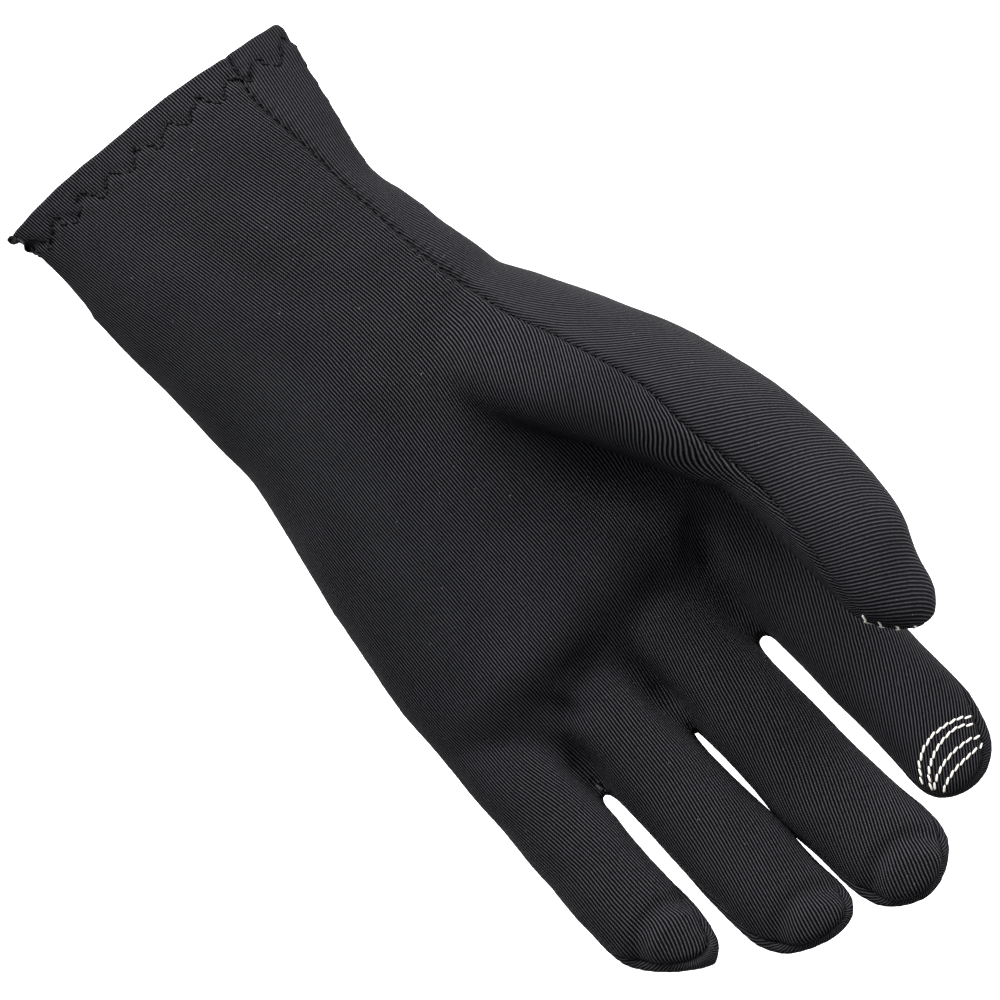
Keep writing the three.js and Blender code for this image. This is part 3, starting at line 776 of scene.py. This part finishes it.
@functools.cache
def glove_form(groove, zigzag_pitch):
    """The glove's skin, cut along its mouth and its seam and pressed to shape."""
    bm = fused_form()
    layer = bm.verts.layers.float.new("field")
    seam_place = bm.verts.layers.int.new("seam_place")
    mouth_place = bm.verts.layers.int.new("mouth_place")
    on_palm = bm.faces.layers.int.new("on_palm")
    cut_along(bm, past_mouth, layer, MOUTH_SNAP)
    before_mouth = [vert for vert in bm.verts if vert[layer] < 0]
    bmesh.ops.delete(bm, geom=before_mouth, context="VERTS")
    side = palm_side(points_of(bm))
    close = {vert for vert, value in zip(bm.verts, side) if abs(value) < BAND}
    fine = [edge for edge in bm.edges if edge.verts[0] in close and edge.verts[1] in close]
    bmesh.ops.subdivide_edges(bm, edges=fine, cuts=1, use_grid_fill=True)
    base = BVHTree.FromBMesh(bm)
    cut_along(bm, palm_side, layer, SEAM_SNAP)
    palm = {face: sum(vert[layer] for vert in face.verts) > 0 for face in bm.faces}
    seam_edges = [
        edge for edge in bm.edges
        if len(edge.link_faces) == 2 and palm[edge.link_faces[0]] != palm[edge.link_faces[1]]
    ]
    chain = in_order(seam_edges)
    for vert, place in zip(chain, smoothed(np.array([vert.co for vert in chain]), passes=14)):
        vert.co = base.find_nearest(place)[0]
    bm.normal_update()
    seam = line_through(chain)
    rim = in_order([edge for edge in bm.edges if edge.is_boundary])
    for vert, place in zip(rim, smoothed(np.array([vert.co for vert in rim]), passes=5, closed=True)):
        vert.co = place
    bm.normal_update()
    mouth = line_through(rim, closed=True)
    zigzag = zigzag_places(mouth, base, zigzag_pitch)
    points = points_of(bm)
    normals = np.array([vert.normal for vert in bm.verts])
    side = np.array([vert[layer] for vert in bm.verts])
    placed = dressed(points, normals, side, seam, [place for place, _, _ in zigzag], groove)
    for vert, place in zip(bm.verts, placed):
        vert.co = place
    bm.normal_update()
    for i, vert in enumerate(chain):
        vert[seam_place] = i + 1
    for i, vert in enumerate(rim):
        vert[mouth_place] = i + 1
    for face in bm.faces:
        face[on_palm] = int(palm[face])
    skin = bpy.data.meshes.new("glove_skin")
    bm.to_mesh(skin)
    form = Form(skin, line_through(chain), line_through(rim, closed=True), BVHTree.FromBMesh(bm))
    bm.free()
    return form


# The panels


def carried_on(bm, layer, other_layer, line, profile, towards_way, inward):
    """Carries the cloth on past an edge, ring after ring, by (towards, inwards) steps."""
    across, along = (bm.verts.layers.float[way] for way in RIB_LAYERS)
    edges = [edge for edge in bm.edges if edge.is_boundary and all(v[layer] for v in edge.verts)]
    for towards, deep in profile:
        made = bmesh.ops.extrude_edge_only(bm, edges=edges)["geom"]
        verts = {item for item in made if isinstance(item, bmesh.types.BMVert)}
        edges = [e for e in made if isinstance(e, bmesh.types.BMEdge) and set(e.verts) <= verts]
        for vert in verts:
            i = vert[layer] - 1
            vert[other_layer] = 0
            placed = Vector(line.points[i] + towards_way[i] * towards + inward[i] * deep)
            vert[across] += (placed.y - vert.co.y) / HEM_RIB_PITCH
            vert[along] += (placed.x - vert.co.x) / HEM_RIB_PITCH
            vert.co = placed


def rib_directions(points, directions, scale):
    """The ribs' direction and pitch at each point, from the nearest rows of a table."""
    spread = 6.0
    away = sum((points[:, i, None] - directions[name]) ** 2 for i, name in enumerate("xyz"))
    weight = 1 / (away + spread**2) ** 2
    weight /= weight.sum(axis=1)[:, None]
    turns, climbs = np.radians(directions["turn"]), np.radians(directions["climb"])
    flat = np.cos(climbs)
    ways = np.stack([np.cos(turns) * flat, np.sin(turns) * flat, np.sin(climbs)], axis=1)
    return weight @ ways, scale * (weight @ directions["pitch"])[:, None]


def rib_coordinates(bm, directions, scale):
    """Each vertex's place across and along the ribs, in ribs, that follows the directions best."""
    points = points_of(bm)
    normals = np.array([vert.normal for vert in bm.verts])
    along, pitch = rib_directions(points, directions, scale)
    along -= normals * (along * normals).sum(axis=1)[:, None]
    along /= np.maximum(np.linalg.norm(along, axis=1), LEAST_LENGTH)[:, None]
    wished = np.stack([np.cross(normals, along), along], axis=1)
    bm.verts.index_update()
    start, end = np.array([[vert.index for vert in edge.verts] for edge in bm.edges]).T
    step = points[end] - points[start]
    count = len(points)

    def summed(flow, sign):
        """Sums a value of the edges at their ends, with the start's share turned by the sign."""
        flat = flow.reshape(len(flow), -1)
        sums = [np.bincount(end, f, count) + sign * np.bincount(start, f, count) for f in flat.T]
        return np.stack(sums, axis=1).reshape(count, *flow.shape[1:])

    squares = summed(step[:, :, None] * step[:, None, :], 1) + 0.02 * np.eye(3)
    facing = np.sign(normals[:, 2].mean())
    place = points[:, [1, 0]] * (facing, 1) / pitch.mean()
    ways = wished
    for _ in range(RIB_ROUNDS):
        middle = (ways[start] / pitch[start, :, None] + ways[end] / pitch[end, :, None]) / 2
        wish = (middle * step[:, None, :]).sum(axis=2)
        left = summed(wish - (place[end] - place[start]), -1)
        heading = left.copy()
        size = (left**2).sum(axis=0)
        for _ in range(RIB_STEPS):
            push = summed(heading[end] - heading[start], -1)
            share = size / np.maximum((heading * push).sum(axis=0), 1e-12)
            place += share * heading
            left -= share * push
            new_size = (left**2).sum(axis=0)
            heading = left + new_size / np.maximum(size, 1e-12) * heading
            size = new_size
        change = (place[end] - place[start])[:, :, None] * step[:, None, :]
        slopes = np.linalg.solve(squares[:, None], summed(change, 1)[..., None])[..., 0]
        steepness = np.maximum(np.linalg.norm(slopes, axis=2), 1e-6)[:, :, None]
        ways = wished + RIB_FOLLOW * slopes / steepness
        ways /= np.maximum(np.linalg.norm(ways, axis=2), LEAST_LENGTH)[:, :, None]
    return place


def make_panel(name, form, cloth, palm, directions):
    """One panel of cloth with its rolled seam edge and its half of the turned-in hem."""
    bm = bmesh.new()
    bm.from_mesh(form.skin)
    on_palm = bm.faces.layers.int["on_palm"]
    other = [face for face in bm.faces if face[on_palm] != int(palm)]
    bmesh.ops.delete(bm, geom=other, context="FACES")
    seam_place = bm.verts.layers.int["seam_place"]
    at_seam = [
        (face.calc_center_median(), vert[seam_place] - 1)
        for face in bm.faces for vert in face.verts if vert[seam_place]
    ]
    sway = sum(np.dot(form.seam.aside[i], np.array(spot) - form.seam.points[i]) for spot, i in at_seam)
    to_panel = form.seam.aside * np.sign(sway)
    for vert in bm.verts:
        if vert[seam_place]:
            vert.co += Vector(to_panel[vert[seam_place] - 1] * HALF_GAP)
    from_end = np.minimum(form.seam.along, form.seam.along[-1] - form.seam.along)
    bm.normal_update()
    # A new layer makes the handles of older ones stale, so they are looked up again.
    rib_layers = [bm.verts.layers.float.new(way) for way in RIB_LAYERS]
    for vert, place in zip(bm.verts, rib_coordinates(bm, directions, cloth.rib_scale)):
        for layer, value in zip(rib_layers, place):
            vert[layer] = value
    seam_place = bm.verts.layers.int["seam_place"]
    mouth_place = bm.verts.layers.int["mouth_place"]
    for vert in bm.verts:
        if vert[seam_place] and from_end[vert[seam_place] - 1] < FIN_START:
            vert[seam_place] = 0
    inward = -form.seam.out
    carried_on(bm, seam_place, mouth_place, form.seam, FIN, to_panel, inward)
    layers_apart = 2 * cloth.thickness / MM + HEM_GAP
    across, tall = form.mouth.points[:, 1], form.mouth.points[:, 2]
    into = np.stack([1 + 0 * across, -HEM_LEAN * across / MOUTH["wide"], HEM_FLARE * tall], axis=1)
    narrowing = -across * (HEM_NARROWING + CORNER_NARROWING * (across / MOUTH["wide"]) ** 4)
    inside = np.stack([0 * across, narrowing, -np.clip(0.6 * tall / layers_apart, -1, 1)], axis=1)
    inside = smoothed(inside, passes=8, closed=True)
    turns = [math.pi * i / FOLD_STEPS for i in range(1, FOLD_STEPS + 1)]
    fold = [(-HEM_FOLD * math.sin(a), layers_apart * (1 - math.cos(a)) / 2) for a in turns]
    hem_width = cloth.hem_width / MM
    lying = [(hem_width * i / HEM_STEPS, layers_apart) for i in range(1, HEM_STEPS + 1)]
    carried_on(bm, mouth_place, seam_place, form.mouth, fold + lying, into, inside)
    uv = bm.loops.layers.uv.new("ribs")
    rib_layers = [bm.verts.layers.float[way] for way in RIB_LAYERS]
    for face in bm.faces:
        face.smooth = True
        for loop in face.loops:
            loop[uv].uv = [loop.vert[layer] for layer in rib_layers]
    mesh = bpy.data.meshes.new(name)
    bm.to_mesh(mesh)
    bm.free()
    mesh.transform(Matrix.Scale(MM, 4))
    piece = bpy.data.objects.new(name, mesh)
    bpy.context.scene.collection.objects.link(piece)
    wall = piece.modifiers.new("wall", "SOLIDIFY")
    wall.thickness = cloth.thickness
    wall.offset = -1
    wall.use_even_offset = False
    return piece


# Materials


def socket(group, name, kind, way, value=None):
    """Adds a named input or output to a node group."""
    made = group.interface.new_socket(name=name, in_out=way, socket_type=kind)
    if value is not None:
        made.default_value = value


class Board:
    """Adds nodes to a tree and links them."""

    def __init__(self, tree):
        self.tree = tree

    def node(self, kind, **values):
        made = self.tree.nodes.new(kind)
        for key, value in values.items():
            setattr(made, key, value)
        return made

    def feed(self, target, source):
        if isinstance(source, bpy.types.NodeSocket):
            self.tree.links.new(source, target)
        else:
            target.default_value = source

    def math(self, operation, *sources, clamp=False):
        made = self.node("ShaderNodeMath", operation=operation, use_clamp=clamp)
        for target, source in zip(made.inputs, sources):
            self.feed(target, source)
        return made.outputs[0]

    def mix(self, share, first, second):
        made = self.node("ShaderNodeMix", data_type="RGBA")
        for name, source in (("Factor", share), ("A", first), ("B", second)):
            target = next(s for s in made.inputs if s.name == name and s.enabled)
            self.feed(target, source)
        return next(s for s in made.outputs if s.enabled)

    def noise(self, place, scale, detail=2.0):
        made = self.node("ShaderNodeTexNoise")
        self.feed(made.inputs["Vector"], place)
        made.inputs["Scale"].default_value = scale
        made.inputs["Detail"].default_value = detail
        return made.outputs["Fac"]


def ribbed_group():
    """The cloth's ribs: a height, and a mask that is 1 on the ribs' tops, where a highlight is painted.
    """
    group = bpy.data.node_groups.new("ribbed_cloth", "ShaderNodeTree")
    socket(group, "Ribs", "NodeSocketVector", "INPUT")
    socket(group, "Place", "NodeSocketVector", "INPUT")
    socket(group, "Waver", "NodeSocketFloat", "INPUT", 0.35)
    socket(group, "Height", "NodeSocketFloat", "OUTPUT")
    socket(group, "PaintedHighlight", "NodeSocketFloat", "OUTPUT")
    board = Board(group)
    given = board.node("NodeGroupInput").outputs
    split = board.node("ShaderNodeSeparateXYZ")
    board.feed(split.inputs[0], given["Ribs"])
    drift = board.math("SUBTRACT", board.noise(given["Place"], WAVER_SCALE), 0.5)
    waver = board.math("MULTIPLY", drift, given["Waver"])
    across = board.math("MULTIPLY", board.math("ADD", split.outputs["X"], waver), math.tau)
    rib = board.math("MULTIPLY_ADD", board.math("SINE", across), 0.5, 0.5)
    dash_place = board.node("ShaderNodeCombineXYZ")
    board.feed(dash_place.inputs[0], split.outputs["X"])
    board.feed(dash_place.inputs[1], board.math("MULTIPLY", split.outputs["Y"], DASH_LENGTH))
    dashes = board.noise(dash_place.outputs[0], DASH_SCALE, 1.0)
    along = board.math("MULTIPLY", split.outputs["Y"], math.tau * LOOPS_A_RIB)
    loops = board.math("SINE", board.math("ADD", along, across))
    height = board.math("MULTIPLY_ADD", loops, 0.14, board.math("POWER", rib, 0.8))
    result = board.node("NodeGroupOutput").inputs
    board.feed(result["Height"], height)
    # Painted highlight: the ribs' tops are lit in broken dashes of shine, made narrower by the
    # sharpness.
    lit = board.math("MULTIPLY_ADD", dashes, 1.5, 0.3)
    tops = board.math("MULTIPLY", board.math("POWER", rib, RIB_SHARPNESS), lit, clamp=True)
    board.feed(result["PaintedHighlight"], tops)
    return group


def lint_group():
    """Scattered specks of lint: a mask that is 1 on a speck."""
    group = bpy.data.node_groups.new("lint", "ShaderNodeTree")
    socket(group, "Place", "NodeSocketVector", "INPUT")
    socket(group, "Amount", "NodeSocketFloat", "INPUT", 0.25)
    socket(group, "Specks", "NodeSocketFloat", "OUTPUT")
    board = Board(group)
    given = board.node("NodeGroupInput").outputs
    cells = board.node("ShaderNodeTexVoronoi", feature="F1")
    board.feed(cells.inputs["Vector"], given["Place"])
    cells.inputs["Scale"].default_value = LINT_SCALE
    draw = board.node("ShaderNodeSeparateColor")
    board.feed(draw.inputs[0], cells.outputs["Color"])
    chosen = board.math("LESS_THAN", draw.outputs[0], given["Amount"])
    size = board.math("MULTIPLY_ADD", draw.outputs[1], 0.05, 0.02)
    speck = board.math("LESS_THAN", cells.outputs["Distance"], size)
    result = board.node("NodeGroupOutput").inputs
    board.feed(result["Specks"], board.math("MULTIPLY", speck, chosen))
    return group


def group_named(name, maker):
    """A node group, made when it is first asked for."""
    return bpy.data.node_groups.get(name) or maker()


def cloth_material(name, cloth, bump, contrast, lint):
    """Dull black stretch cloth with raised ribs, a highlight painted on the ribs' tops and shade painted
    between them, a faint shine and a little lint.
    """
    material = bpy.data.materials.new(name)
    material.use_nodes = True
    board = Board(material.node_tree)
    shader = material.node_tree.nodes["Principled BSDF"]
    uv = board.node("ShaderNodeUVMap", uv_map="ribs")
    place = board.node("ShaderNodeTexCoord").outputs["Object"]
    ribs = board.node("ShaderNodeGroup", node_tree=group_named("ribbed_cloth", ribbed_group))
    board.feed(ribs.inputs["Ribs"], uv.outputs[0])
    board.feed(ribs.inputs["Place"], place)
    specks = board.node("ShaderNodeGroup", node_tree=group_named("lint", lint_group))
    board.feed(specks.inputs["Place"], place)
    specks.inputs["Amount"].default_value = lint
    worn = board.math("MULTIPLY_ADD", board.noise(place, WORN_SCALE, 4.0), 0.6, 0.7)
    tops = board.math("MULTIPLY", ribs.outputs["PaintedHighlight"], worn, clamp=True)
    tops = board.math("MULTIPLY_ADD", tops, contrast, 0.3 * (1 - contrast))
    # Painted shade between the ribs and a painted highlight on their tops: the colour runs from the
    # nearly black valley colour to the lighter top colour.
    colour = board.mix(tops, (*cloth.valley_shade_colour, 1), (*cloth.colour, 1))
    colour = board.mix(specks.outputs["Specks"], colour, (*cloth.lint_colour, 1))
    board.feed(shader.inputs["Base Color"], colour)
    board.feed(shader.inputs["Roughness"], board.math("MULTIPLY_ADD", tops, -0.3, 0.88))
    relief = board.node("ShaderNodeBump")
    relief.inputs["Strength"].default_value = bump
    relief.inputs["Distance"].default_value = RIB_RELIEF
    board.feed(relief.inputs["Height"], ribs.outputs["Height"])
    board.feed(shader.inputs["Normal"], relief.outputs[0])
    shader.inputs["Specular IOR Level"].default_value = CLOTH_SHINE
    return material


def thread_material(name, colour, roughness, shine):
    """Twisted sewing thread."""
    material = bpy.data.materials.new(name)
    material.use_nodes = True
    board = Board(material.node_tree)
    shader = material.node_tree.nodes["Principled BSDF"]
    place = board.node("ShaderNodeTexCoord").outputs["Object"]
    shade = board.math("MULTIPLY_ADD", board.noise(place, SHADE_SCALE), 0.6, 0.45, clamp=True)
    dark = tuple(channel * 0.5 for channel in colour)
    board.feed(shader.inputs["Base Color"], board.mix(shade, (*dark, 1), (*colour, 1)))
    board.feed(shader.inputs["Roughness"], board.math("MULTIPLY_ADD", shade, -0.1, roughness))
    relief = board.node("ShaderNodeBump")
    relief.inputs["Strength"].default_value = 0.4
    relief.inputs["Distance"].default_value = TWIST_RELIEF
    board.feed(relief.inputs["Height"], board.noise(place, TWIST_SCALE))
    board.feed(shader.inputs["Normal"], relief.outputs[0])
    shader.inputs["Specular IOR Level"].default_value = shine
    return material


def finish_piece(piece, material, slot, *replaced):
    """Gives a piece its material and its body, and hides the solids that it stands for; the slot is not
    used.
    """
    piece.data.materials.append(material)
    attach(piece, BODY)
    if replaced:
        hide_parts(*replaced)


# Stitches


def stitch_mesh(name, stitches, width):
    """Short plump stitches, each given by its middle, the cloth's direction there, and its run."""
    bm = bmesh.new()
    for spot, normal, run in stitches:
        run = Vector(run)
        normal = Vector(normal).normalized()
        ahead = (run - normal * run.dot(normal)).normalized()
        turned = Matrix((ahead, normal.cross(ahead), normal)).transposed().to_4x4()
        lie = Matrix.Translation(Vector(spot) + normal * width * STITCH_LIFT) @ turned
        size = Matrix.Diagonal((run.length / 2, width / 2, width * STITCH_HEIGHT, 1))
        ball = bmesh.ops.create_uvsphere(
            bm, u_segments=8, v_segments=6, radius=1, matrix=Matrix.Rotation(math.pi / 2, 4, "Y")
        )["verts"]
        for vert in ball:
            plump = math.sqrt(1 + vert.co.x**2)
            vert.co.y *= plump
            vert.co.z *= plump
        bmesh.ops.transform(bm, matrix=lie @ size, verts=ball)
    for face in bm.faces:
        face.smooth = True
    mesh = bpy.data.meshes.new(name)
    bm.to_mesh(mesh)
    bm.free()
    mesh.transform(Matrix.Scale(MM, 4))
    piece = bpy.data.objects.new(name, mesh)
    bpy.context.scene.collection.objects.link(piece)
    return piece


def seen_at(tree, x, y):
    """The spot on the cloth that the camera sees at a place of the plane through the cuff's middle."""
    eye = Vector((*CAMERA_AIM, CAMERA_DISTANCE))
    spot, normal, _, _ = tree.ray_cast(eye, (Vector((x, y, 0)) - eye).normalized())
    return spot, normal


def resampled(points, step):
    """Evenly spaced places along a run of points."""
    points = np.array(points, float)
    lengths = np.linalg.norm(np.diff(points, axis=0), axis=1)
    along = np.concatenate([[0], np.cumsum(lengths)])
    count = max(1, round(along[-1] / step))
    places = along[-1] * (np.arange(count) + 0.5) / count
    return np.stack([np.interp(places, along, column) for column in points.T], axis=1)


def arc_stitches(rows_of_seats, length):
    """Stitches along rows of (spot, normal) seats, each turned a little off the row."""
    stitches = []
    for seats in rows_of_seats:
        for i, (spot, normal) in enumerate(seats):
            ahead = seats[min(i + 1, len(seats) - 1)][0] - seats[max(i - 1, 0)][0]
            slanted = Matrix.Rotation(math.radians(ARC_SLANT), 3, normal) @ ahead.normalized()
            stitches.append((spot, normal, slanted * length))
    return stitches


def thumb_seats(tree, end_x, middle_x, pitch):
    """Seats of one arc round the thumb's pad, from its front seam to the far side."""
    seats = []
    for share in np.linspace(1, -0.9, 60):
        x = lerp(middle_x, end_x, share**2)
        angle = math.radians(THUMB_PAD_FACES + share * THUMB_ARC_REACH)
        middle = Vector((x, column_at(THUMB, "y", x), column_at(THUMB, "z", x)))
        outward = Vector((0, math.sin(angle), math.cos(angle)))
        spot, normal, _, _ = tree.ray_cast(middle, outward)
        if not seats or (spot - seats[-1][0]).length >= pitch:
            seats.append((spot, normal))
    return seats


def current_form():
    """The glove's form for the settings that the panel shows."""
    cloth, thread = bpy.context.scene.glove_cloth, bpy.context.scene.glove_thread
    return glove_form(round(cloth.groove_depth / MM, 4), round(thread.zigzag_pitch / MM, 4))


class GLOVE_OT_cloth_panels(bpy.types.Operator):
    """Make the palm panel and the back panel of the glove."""

    bl_idname = "glove.cloth_panels"
    bl_label = "Cloth Panels"

    def execute(self, context):
        cloth = context.scene.glove_cloth
        form = current_form()
        palm = make_panel("palm_cloth_panel", form, cloth, palm=True, directions=PALM_RIBS)
        smooth = cloth_material("palm_cloth", cloth, bump=0.8, contrast=1.0, lint=0.3)
        finish_piece(palm, smooth, "palm_cloth", "palm_panel")
        back = make_panel("back_cloth_panel", form, cloth, palm=False, directions=BACK_RIBS)
        worn = cloth_material("back_cloth", cloth, bump=0.65, contrast=0.8, lint=0.35)
        finish_piece(back, worn, "back_cloth", "back_panel")
        return {"FINISHED"}


class GLOVE_OT_hem_zigzag(bpy.types.Operator):
    """Sew the zigzag that holds the hem."""

    bl_idname = "glove.hem_zigzag"
    bl_label = "Hem Zigzag"

    def execute(self, context):
        thread = context.scene.glove_thread
        form = current_form()
        places = zigzag_places(form.mouth, form.tree, thread.zigzag_pitch / MM)
        stitches = [(spot, normal, run.normalized() * ZIGZAG_STITCH) for spot, normal, run in places]
        zigzag = stitch_mesh("hem_zigzag", stitches, thread.width / MM)
        black = thread_material("black_thread", thread.colour, roughness=0.65, shine=0.06)
        finish_piece(zigzag, black, "palm_cloth")
        return {"FINISHED"}


class GLOVE_OT_seam_stitches(bpy.types.Operator):
    """Sew the thread that shows in the running seam."""

    bl_idname = "glove.seam_stitches"
    bl_label = "Seam Stitches"

    def execute(self, context):
        thread = context.scene.glove_thread
        seam = current_form().seam
        stitches = []
        for i in range(int(seam.along[-1] / STITCH_PITCH)):
            at = int(np.searchsorted(seam.along, (i + 0.5) * STITCH_PITCH))
            ahead = seam.points[min(at + 2, len(seam.points) - 1)] - seam.points[max(at - 2, 0)]
            run = Vector(ahead).normalized() + SEAM_SLANT * Vector(seam.aside[at])
            x, y, _ = seam.points[at]
            lift = PROUD if x < PROUD_UNTIL and y > 0 else SUNK
            spot = Vector(seam.points[at] + seam.out[at] * lift)
            stitches.append((spot, seam.out[at], run.normalized() * SEAM_STITCH))
        piece = stitch_mesh("seam_stitches", stitches, SEAM_THREAD * thread.width / MM)
        dark = thread_material("seam_thread", thread.colour, roughness=0.6, shine=0.12)
        finish_piece(piece, dark, "back_cloth")
        return {"FINISHED"}


class GLOVE_OT_fingertip_stitches(bpy.types.Operator):
    """Sew the arcs of pale thread on the index fingertip and on the thumb."""

    bl_idname = "glove.fingertip_stitches"
    bl_label = "Fingertip Stitches"

    def execute(self, context):
        thread = context.scene.glove_thread
        form = current_form()
        pale = thread_material("pale_thread", thread.pale_colour, roughness=0.7, shine=0.3)
        index = [
            [seen_at(form.tree, *place) for place in resampled(arc, ARC_PITCH)] for arc in INDEX_ARCS
        ]
        thumb = [thumb_seats(form.tree, *ends, ARC_PITCH) for ends in THUMB_ARCS]
        for name, seats in (("index_stitches", index), ("thumb_stitches", thumb)):
            piece = stitch_mesh(name, arc_stitches(seats, ARC_STITCH), thread.arc_width / MM)
            finish_piece(piece, pale, "palm_cloth")
        return {"FINISHED"}


# The stage


def plain_material(name, colour, roughness):
    """A plain surface with a faint grain."""
    material = bpy.data.materials.new(name)
    material.use_nodes = True
    board = Board(material.node_tree)
    shader = material.node_tree.nodes["Principled BSDF"]
    place = board.node("ShaderNodeTexCoord").outputs["Object"]
    grain = board.math("MULTIPLY_ADD", board.noise(place, 4.0), 0.04, 0.96, clamp=True)
    dim = tuple(channel * 0.95 for channel in colour)
    board.feed(shader.inputs["Base Color"], board.mix(grain, (*dim, 1), (*colour, 1)))
    shader.inputs["Roughness"].default_value = roughness
    return material


def add_light(name, place, aim, size, power):
    """A square soft light that faces a point."""
    lamp = bpy.data.lights.new(name, "AREA")
    lamp.shape = "SQUARE"
    lamp.size = size
    lamp.energy = power
    light = bpy.data.objects.new(name, lamp)
    light.location = place
    light.rotation_euler = (Vector(aim) - Vector(place)).to_track_quat("-Z", "Y").to_euler()
    light.visible_camera = False
    bpy.context.scene.collection.objects.link(light)


class GLOVE_OT_stage(bpy.types.Operator):
    """Set up the pale floor, the soft lights and the camera."""

    bl_idname = "glove.stage"
    bl_label = "Stage"

    def execute(self, context):
        studio = context.scene.glove_studio
        turn = math.radians(CAMERA_TURN)
        aim = Vector((*CAMERA_AIM, 0)) * MM
        up = Vector((-math.sin(turn), math.cos(turn), 0))
        bm = bmesh.new()
        bmesh.ops.create_grid(
            bm, x_segments=1, y_segments=1, size=6,
            matrix=Matrix.Translation((aim.x, aim.y, -studio.floor_depth)),
        )
        mesh = bpy.data.meshes.new("floor")
        bm.to_mesh(mesh)
        bm.free()
        mesh.materials.append(plain_material("pale_floor", studio.floor_colour, 0.9))
        floor = bpy.data.objects.new("floor", mesh)
        context.scene.collection.objects.link(floor)
        right = Vector((math.cos(turn), math.sin(turn), 0))
        for name, to_right, to_up, to_above, size, share in LAMPS:
            way = right * to_right + up * to_up + Vector((0, 0, to_above))
            add_light(name, aim + way * LAMP_DISTANCE, aim, size, studio.light_power * share)
        world = bpy.data.worlds.new("studio_air")
        world.use_nodes = True
        air = world.node_tree.nodes["Background"]
        air.inputs["Color"].default_value = AIR_COLOUR
        air.inputs["Strength"].default_value = AIR_STRENGTH
        context.scene.world = world
        context.scene.view_settings.view_transform = "Standard"
        camera = bpy.data.objects.new("camera", bpy.data.cameras.new("camera"))
        camera.data.lens = CAMERA_LENS
        camera.location = (*(Vector(CAMERA_AIM) * MM), CAMERA_DISTANCE * MM)
        camera.rotation_euler = (0, 0, turn)
        context.scene.collection.objects.link(camera)
        context.scene.camera = camera
        return {"FINISHED"}


OPERATORS = (
    GLOVE_OT_stage,
    GLOVE_OT_cloth_panels,
    GLOVE_OT_hem_zigzag,
    GLOVE_OT_seam_stitches,
    GLOVE_OT_fingertip_stitches,
)


class GLOVE_PT_tools(bpy.types.Panel):
    """Lists the glove's pieces in the sidebar."""

    bl_label = "Glove Liner"
    bl_idname = "GLOVE_PT_tools"
    bl_space_type = "VIEW_3D"
    bl_region_type = "UI"
    bl_category = "Glove"

    def draw(self, context):
        for operator in OPERATORS:
            self.layout.operator(operator.bl_idname)


GROUPS = {"glove_cloth": Cloth, "glove_thread": Thread, "glove_studio": Studio}
CLASSES = (*GROUPS.values(), *OPERATORS, GLOVE_PT_tools)


def register():
    for kind in CLASSES:
        bpy.utils.register_class(kind)
    for name, kind in GROUPS.items():
        setattr(bpy.types.Scene, name, PointerProperty(type=kind))


def unregister():
    for name in GROUPS:
        delattr(bpy.types.Scene, name)
    for kind in reversed(CLASSES):
        bpy.utils.unregister_class(kind)


def main():
    register()
    bpy.ops.glove.stage()
    bpy.ops.glove.cloth_panels()
    bpy.ops.glove.hem_zigzag()
    bpy.ops.glove.seam_stitches()
    bpy.ops.glove.fingertip_stitches()


if __name__ == "__main__":
    main()
